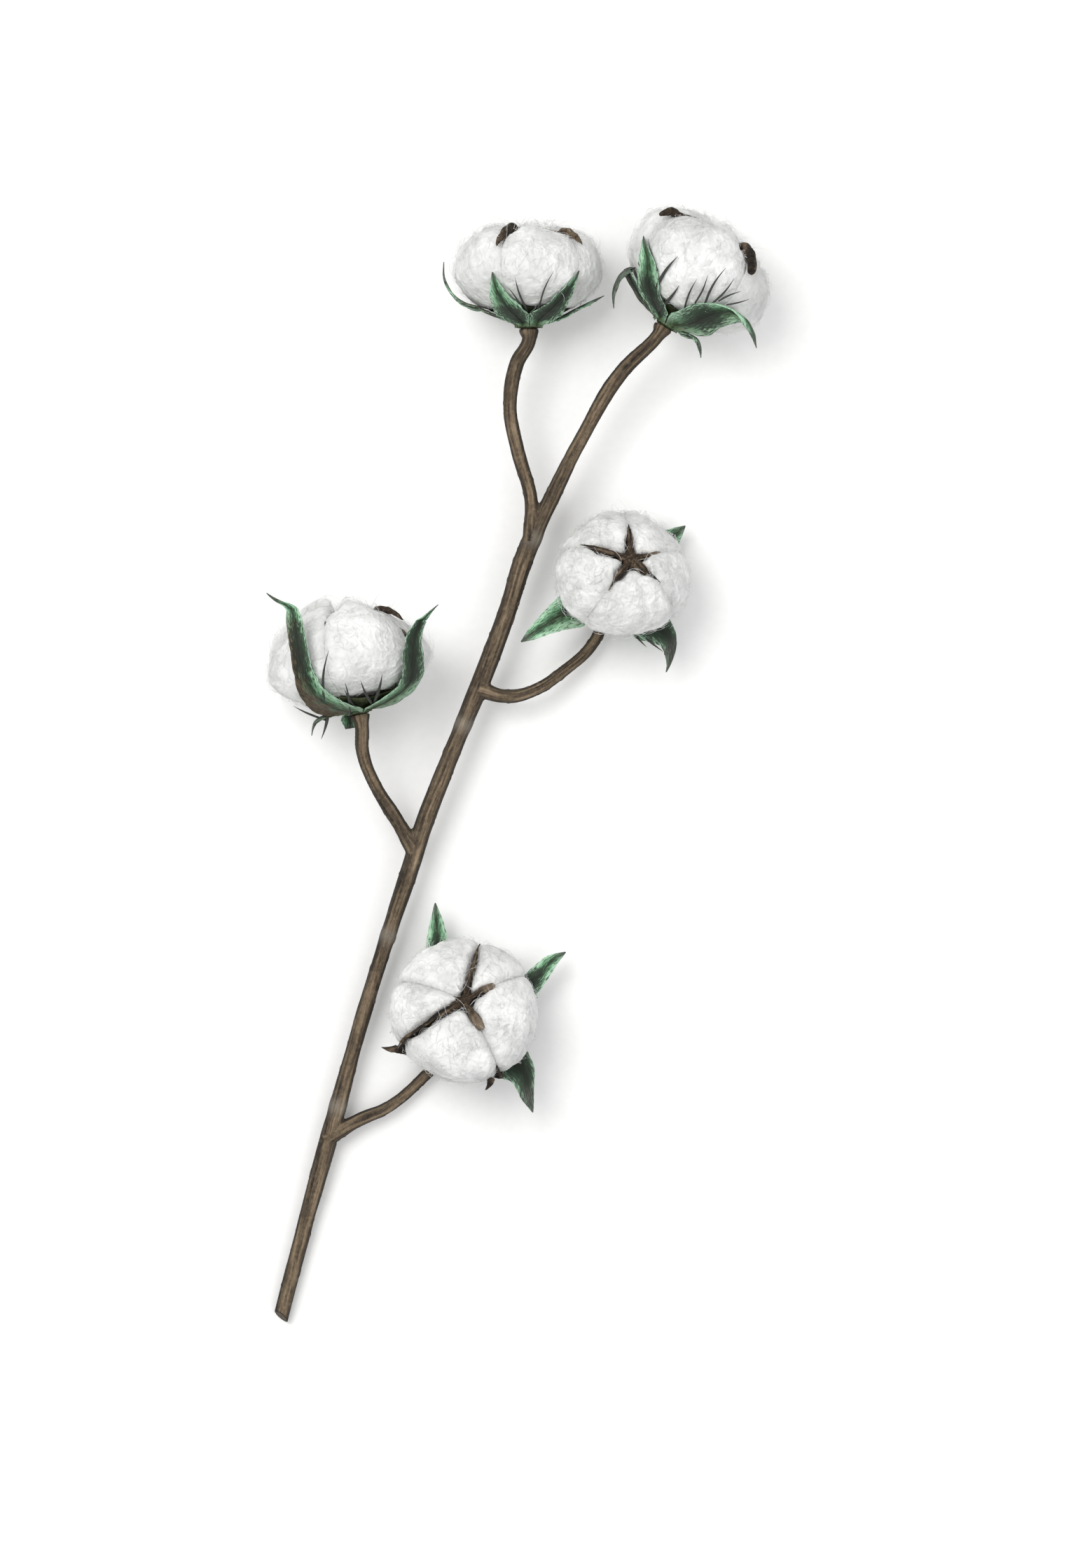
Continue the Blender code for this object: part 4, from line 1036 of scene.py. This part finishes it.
# ---- materials --------------------------------------------------------------
class Nodes:
    """A short way to build a node material."""

    def __init__(self, name):
        self.material = bpy.data.materials.new(name)
        self.material.use_nodes = True
        self.tree = self.material.node_tree
        self.shader = self.tree.nodes["Principled BSDF"]

    def add(self, kind, **settings):
        node = self.tree.nodes.new(kind)
        for key, value in settings.items():
            setattr(node, key, value)
        return node

    def feed(self, socket, source):
        if isinstance(source, (int, float, tuple)):
            socket.default_value = source
        else:
            self.tree.links.new(source, socket)

    def attribute(self, name):
        return self.add("ShaderNodeAttribute", attribute_name=name).outputs["Fac"]

    def position(self, scale=(1.0, 1.0, 1.0)):
        place = self.add("ShaderNodeTexCoord").outputs["Object"]
        mapping = self.add("ShaderNodeMapping")
        self.feed(mapping.inputs["Vector"], place)
        mapping.inputs["Scale"].default_value = scale
        return mapping.outputs["Vector"]

    def vector(self, x, y, z=0.0):
        node = self.add("ShaderNodeCombineXYZ")
        for socket, source in zip(node.inputs, (x, y, z)):
            self.feed(socket, source)
        return node.outputs[0]

    def noise(self, vector, scale, detail=4.0, rough=0.55):
        node = self.add("ShaderNodeTexNoise")
        self.feed(node.inputs["Vector"], vector)
        node.inputs["Scale"].default_value = scale
        node.inputs["Detail"].default_value = detail
        node.inputs["Roughness"].default_value = rough
        return node.outputs["Fac"]

    def math(self, operation, first, second=0.0):
        node = self.add("ShaderNodeMath", operation=operation)
        self.feed(node.inputs[0], first)
        self.feed(node.inputs[1], second)
        return node.outputs[0]

    def times(self, first, second):
        return self.math("MULTIPLY", first, second)

    def plus(self, first, second):
        return self.math("ADD", first, second)

    def ramp(self, source, stops):
        node = self.add("ShaderNodeValToRGB")
        elements = node.color_ramp.elements
        while len(elements) < len(stops):
            elements.new(0.5)
        for element, (place, colour) in zip(elements, stops):
            element.position = place
            if isinstance(colour, (int, float)):
                colour = (colour, colour, colour)
            element.color = (*colour, 1.0)
        self.feed(node.inputs["Fac"], source)
        return node.outputs["Color"]

    def mix(self, share, first, second, blend="MIX"):
        node = self.add("ShaderNodeMix", data_type="RGBA", blend_type=blend)
        self.feed(node.inputs["Factor"], share)
        self.feed(node.inputs["A"], (*first, 1.0) if isinstance(first, tuple) else first)
        self.feed(node.inputs["B"], (*second, 1.0) if isinstance(second, tuple) else second)
        return node.outputs["Result"]

    def bump(self, height, strength, distance, before=None):
        node = self.add("ShaderNodeBump")
        node.inputs["Strength"].default_value = strength
        node.inputs["Distance"].default_value = distance
        self.feed(node.inputs["Height"], height)
        if before is not None:
            self.feed(node.inputs["Normal"], before)
        return node.outputs["Normal"]

    def tint(self, tone, name, share, colour):
        """A tone, with a colour mixed in by a share of one of the mesh's attributes."""
        return self.mix(self.times(self.attribute(name), share), tone, colour)

    def finish(self, inputs):
        for key, source in inputs.items():
            self.feed(self.shader.inputs[key], source)
        return self.material


def lint_material():
    """White lint: fine fibres, painted shade in the dips of its fluff and along closed seams, brown specks by
    the septa.
    """
    n = Nodes("lint_fibres")
    place = n.position()
    fine = n.noise(n.position((1.0, 0.35, 1.0)), 2600, 6.0, 0.65)
    strands = n.noise(place, 900, 5.0, 0.6)
    tone = n.ramp(n.noise(place, 75, 3.0), [(0.36, (0.72, 0.725, 0.72)), (0.60, (0.87, 0.873, 0.865))])
    # painted shade: grey in the dips of the fluff
    tone = n.tint(tone, "hollow_shade", 0.6, (0.50, 0.505, 0.49))
    # painted shade: grey along seams where two locks have closed together
    tone = n.tint(tone, "seam", 0.35, (0.42, 0.42, 0.41))
    tone = n.tint(tone, "foot_tint", 0.30, (0.40, 0.41, 0.35))
    speck = n.times(n.ramp(strands, [(0.36, 0.0), (0.60, 1.0)]), 0.6)
    tone = n.tint(tone, "groove", speck, (0.26, 0.20, 0.14))
    return n.finish({"Base Color": tone, "Roughness": 0.96, "Specular IOR Level": 0.12,
                     "Sheen Weight": 0.12, "Sheen Roughness": 0.6,
                     "Normal": n.bump(fine, 0.35, 0.0003, n.bump(strands, 0.45, 0.0008))})


def bract_material():
    """Leaf: mint margins of painted highlight, near-black strokes of painted shade down the middle, olive
    foot, brown edge.
    """
    n = Nodes("bract_leaf")
    grain_at = n.vector(n.attribute("across"), n.times(n.attribute("along"), 0.14), n.attribute("tooth"))
    streaks = n.noise(grain_at, 1.5, 5.0, 0.6)
    fine = n.noise(grain_at, 2.4, 4.0, 0.65)
    patches = n.noise(n.position(), 130, 4.0, 0.6)
    # painted shade and highlight: near-black green by the midrib, brightening to mint on the margins, broken
    # by streaks
    wobble = n.plus(n.attribute("edge"), n.times(n.math("SUBTRACT", streaks, 0.5), 1.3))
    green = n.ramp(wobble, [(0.04, (0.018, 0.034, 0.016)), (0.24, (0.044, 0.110, 0.052)),
                            (0.50, (0.150, 0.33, 0.180)), (0.80, (0.42, 0.66, 0.46))])
    olive = n.ramp(fine, [(0.34, (0.014, 0.020, 0.007)), (0.66, (0.085, 0.105, 0.034))])
    foot = n.ramp(n.plus(n.attribute("reach"), n.times(patches, 0.25)), [(0.24, 1.0), (0.42, 0.0)])
    tone = n.mix(n.times(foot, 0.8), green, olive)
    tone = n.tint(tone, "vein", 0.22, (0.26, 0.46, 0.30))
    brown = n.ramp(fine, [(0.35, (0.030, 0.022, 0.013)), (0.65, (0.135, 0.100, 0.060))])
    tone = n.mix(n.attribute("brown"), tone, brown)
    # painted shade: near-black strokes down the middle of the leaf
    strokes = n.ramp(n.math("SUBTRACT", fine, n.times(n.attribute("dark"), 0.27)), [(0.38, 1.0), (0.50, 0.0)])
    tone = n.mix(n.times(strokes, 0.9), tone, (0.012, 0.017, 0.011))
    dry = n.ramp(fine, [(0.35, (0.018, 0.018, 0.016)), (0.65, (0.105, 0.105, 0.092))])
    tone = n.tint(tone, "point", 0.85, dry)
    tone = n.tint(tone, "tooth", 0.92, (0.042, 0.043, 0.040))
    return n.finish({"Base Color": tone, "Specular IOR Level": 0.3,
                     "Roughness": n.ramp(patches, [(0.2, 0.55), (0.8, 0.8)]),
                     "Normal": n.bump(streaks, 0.45, 0.0005, n.bump(patches, 0.25, 0.0006))})


def burr_material():
    """Dry husk: brown with dark fibres, olive at the neck."""
    n = Nodes("burr_husk")
    place = n.position()
    streak = n.plus(n.times(n.attribute("streak"), 0.30), n.noise(place, 600, 6.0, 0.65))
    tone = n.ramp(streak, [(0.30, (0.007, 0.006, 0.005)), (0.52, (0.036, 0.025, 0.016)),
                           (0.78, (0.17, 0.125, 0.082))])
    tone = n.mix(n.attribute("pale"), tone, (0.24, 0.185, 0.13))
    tone = n.tint(tone, "heart", 0.35, (0.050, 0.032, 0.018))
    green = n.ramp(n.noise(place, 260, 4.0), [(0.35, (0.014, 0.020, 0.008)), (0.7, (0.060, 0.078, 0.030))])
    tone = n.tint(tone, "green", 0.9, green)
    return n.finish({"Base Color": tone, "Roughness": 0.82, "Specular IOR Level": 0.25,
                     "Normal": n.bump(streak, 0.5, 0.0005)})


def bark_material():
    """Thin bark: brown with dark furrows and pale rubbed ridges, painted shade along both flanks; wood on the
    cut.
    """
    n = Nodes("stem_bark_skin")
    place = n.position()
    turn = n.attribute("turn")
    grain = n.noise(place, 620, 6.0, 0.65)
    patch = n.noise(place, 45, 4.0, 0.6)
    fibre_at = n.vector(n.times(turn, 4.0), n.times(n.attribute("along"), 0.12))
    fibre = n.noise(fibre_at, 1.6, 4.0, 0.6)
    height = n.plus(n.times(n.attribute("ridge"), 0.26), n.plus(n.times(grain, 0.35), n.times(fibre, 0.42)))
    bark = n.ramp(height, [(0.16, (0.018, 0.013, 0.009)), (0.34, (0.090, 0.066, 0.042)),
                           (0.52, (0.225, 0.165, 0.105)), (0.80, (0.42, 0.34, 0.24))])
    tone = n.mix(0.6, bark, n.ramp(patch, [(0.35, 0.5), (0.62, 1.0)]), "MULTIPLY")
    # painted shade: near-black where the bark faces sideways, along both flanks of the stem
    sides = n.ramp(n.plus(n.math("ABSOLUTE", turn), n.times(fibre, 0.3)), [(0.66, 0.0), (1.0, 1.0)])
    tone = n.mix(n.times(sides, 0.85), tone, (0.022, 0.019, 0.015))
    tone = n.tint(tone, "knot", 0.3, (0.36, 0.33, 0.28))
    tone = n.tint(tone, "scar", 0.2, (0.22, 0.17, 0.12))
    rings = n.plus(n.attribute("pith"), n.times(n.noise(place, 1500, 4.0), 0.25))
    wood = n.ramp(rings, [(0.24, (0.050, 0.038, 0.026)), (0.44, (0.13, 0.10, 0.068)),
                          (0.84, (0.085, 0.064, 0.042)), (1.0, (0.020, 0.016, 0.012))])
    tone = n.mix(n.attribute("cut"), tone, wood)
    return n.finish({"Base Color": tone, "Roughness": 0.8, "Specular IOR Level": 0.3,
                     "Normal": n.bump(height, 0.6, 0.0006)})


def table_material():
    n = Nodes("table_paper")
    tone = n.ramp(n.noise(n.position(), 300, 3.0), [(0.3, (0.90, 0.90, 0.895)), (0.7, (0.92, 0.92, 0.915))])
    return n.finish({"Base Color": tone, "Roughness": 0.95})


# ---- stage ------------------------------------------------------------------
TABLE_SIZE = 6.0
LIGHTS = (                   # name, place, size, power, colour
    ("key", (-0.75, 0.65, 1.9), 1.2, 22, (1.0, 0.99, 0.97)),
    ("fill", (0.9, -0.5, 1.9), 1.6, 6, (0.97, 0.98, 1.0)),
)
SKY = ((0.05, 0.10), (0.85, 1.0))          # how high up, and how bright there
SKY_STRENGTH = 1.02
FRAME_HEIGHT = 0.6266        # metres of the stem's plane seen from top to bottom
FRAME_MIDDLE = (0.00684, -0.00628, 0.026)
LENS = 135.0
SENSOR = 36.0


def make_stage():
    bpy.ops.mesh.primitive_plane_add(size=TABLE_SIZE)
    floor = bpy.context.object
    floor.name = "table"
    floor.data.materials.append(table_material())


def area_light(name, place, size, power, colour):
    lamp = bpy.data.lights.new(name, "AREA")
    lamp.shape = "DISK"
    lamp.size = size
    lamp.energy = power
    lamp.color = colour
    holder = bpy.data.objects.new(name, lamp)
    holder.location = place
    holder.rotation_euler = (-Vector(place)).to_track_quat("-Z", "Y").to_euler()
    bpy.context.scene.collection.objects.link(holder)


def make_world():
    """A soft box of light: bright overhead, dim at the horizon."""
    world = bpy.data.worlds.new("studio")
    world.use_nodes = True
    tree = world.node_tree
    coordinates = tree.nodes.new("ShaderNodeTexCoord")
    split = tree.nodes.new("ShaderNodeSeparateXYZ")
    ramp = tree.nodes.new("ShaderNodeValToRGB")
    for element, (place, value) in zip(ramp.color_ramp.elements, SKY):
        element.position = place
        element.color = (value, value, value, 1.0)
    background = tree.nodes["Background"]
    background.inputs["Strength"].default_value = SKY_STRENGTH
    tree.links.new(coordinates.outputs["Generated"], split.inputs[0])
    tree.links.new(split.outputs["Z"], ramp.inputs["Fac"])
    tree.links.new(ramp.outputs["Color"], background.inputs["Color"])
    bpy.context.scene.world = world
    bpy.context.scene.view_settings.view_transform = "Standard"


def make_camera():
    """Straight down on the stem, its upper bolls at the top of the picture."""
    data = bpy.data.cameras.new("camera")
    data.lens = LENS
    data.sensor_width = SENSOR
    distance = FRAME_HEIGHT / 2 / (SENSOR / 2 / LENS)
    data.clip_end = 20.0
    camera = bpy.data.objects.new("camera", data)
    camera.location = Vector(FRAME_MIDDLE) + Vector((0, 0, distance))
    bpy.context.scene.collection.objects.link(camera)
    bpy.context.scene.camera = camera


def dress(piece, material, node):
    piece.data.materials.clear()
    piece.data.materials.append(material)
    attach(piece, "root")
    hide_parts(node)


def main():
    make_stage()
    for light in LIGHTS:
        area_light(*light)
    make_world()
    make_camera()
    lint = lint_material()
    leaf = bract_material()
    husk = burr_material()
    bolls = [Boll(number, data) for number, data in enumerate(BOLLS, start=1)]
    template = sphere_template(SPHERE_DETAIL)
    dress(make_stem(bolls), bark_material(), "stem")
    for boll in bolls:
        name = f"boll_{boll.number}"
        dress(make_burr(f"{name}_husk", boll), husk, f"{name}_burr")
        for index, (azimuth, spine) in enumerate(boll.bracts, start=1):
            piece = make_bract(f"{name}_leaf_{index}", boll, index, azimuth, spine)
            dress(piece, leaf, f"{name}_bract_{index}")
        for index in range(1, len(boll.gaps) + 1):
            piece = make_lock(f"{name}_lint_{index}", boll, index, template)
            dress(piece, lint, f"{name}_lock_{index}")


main()
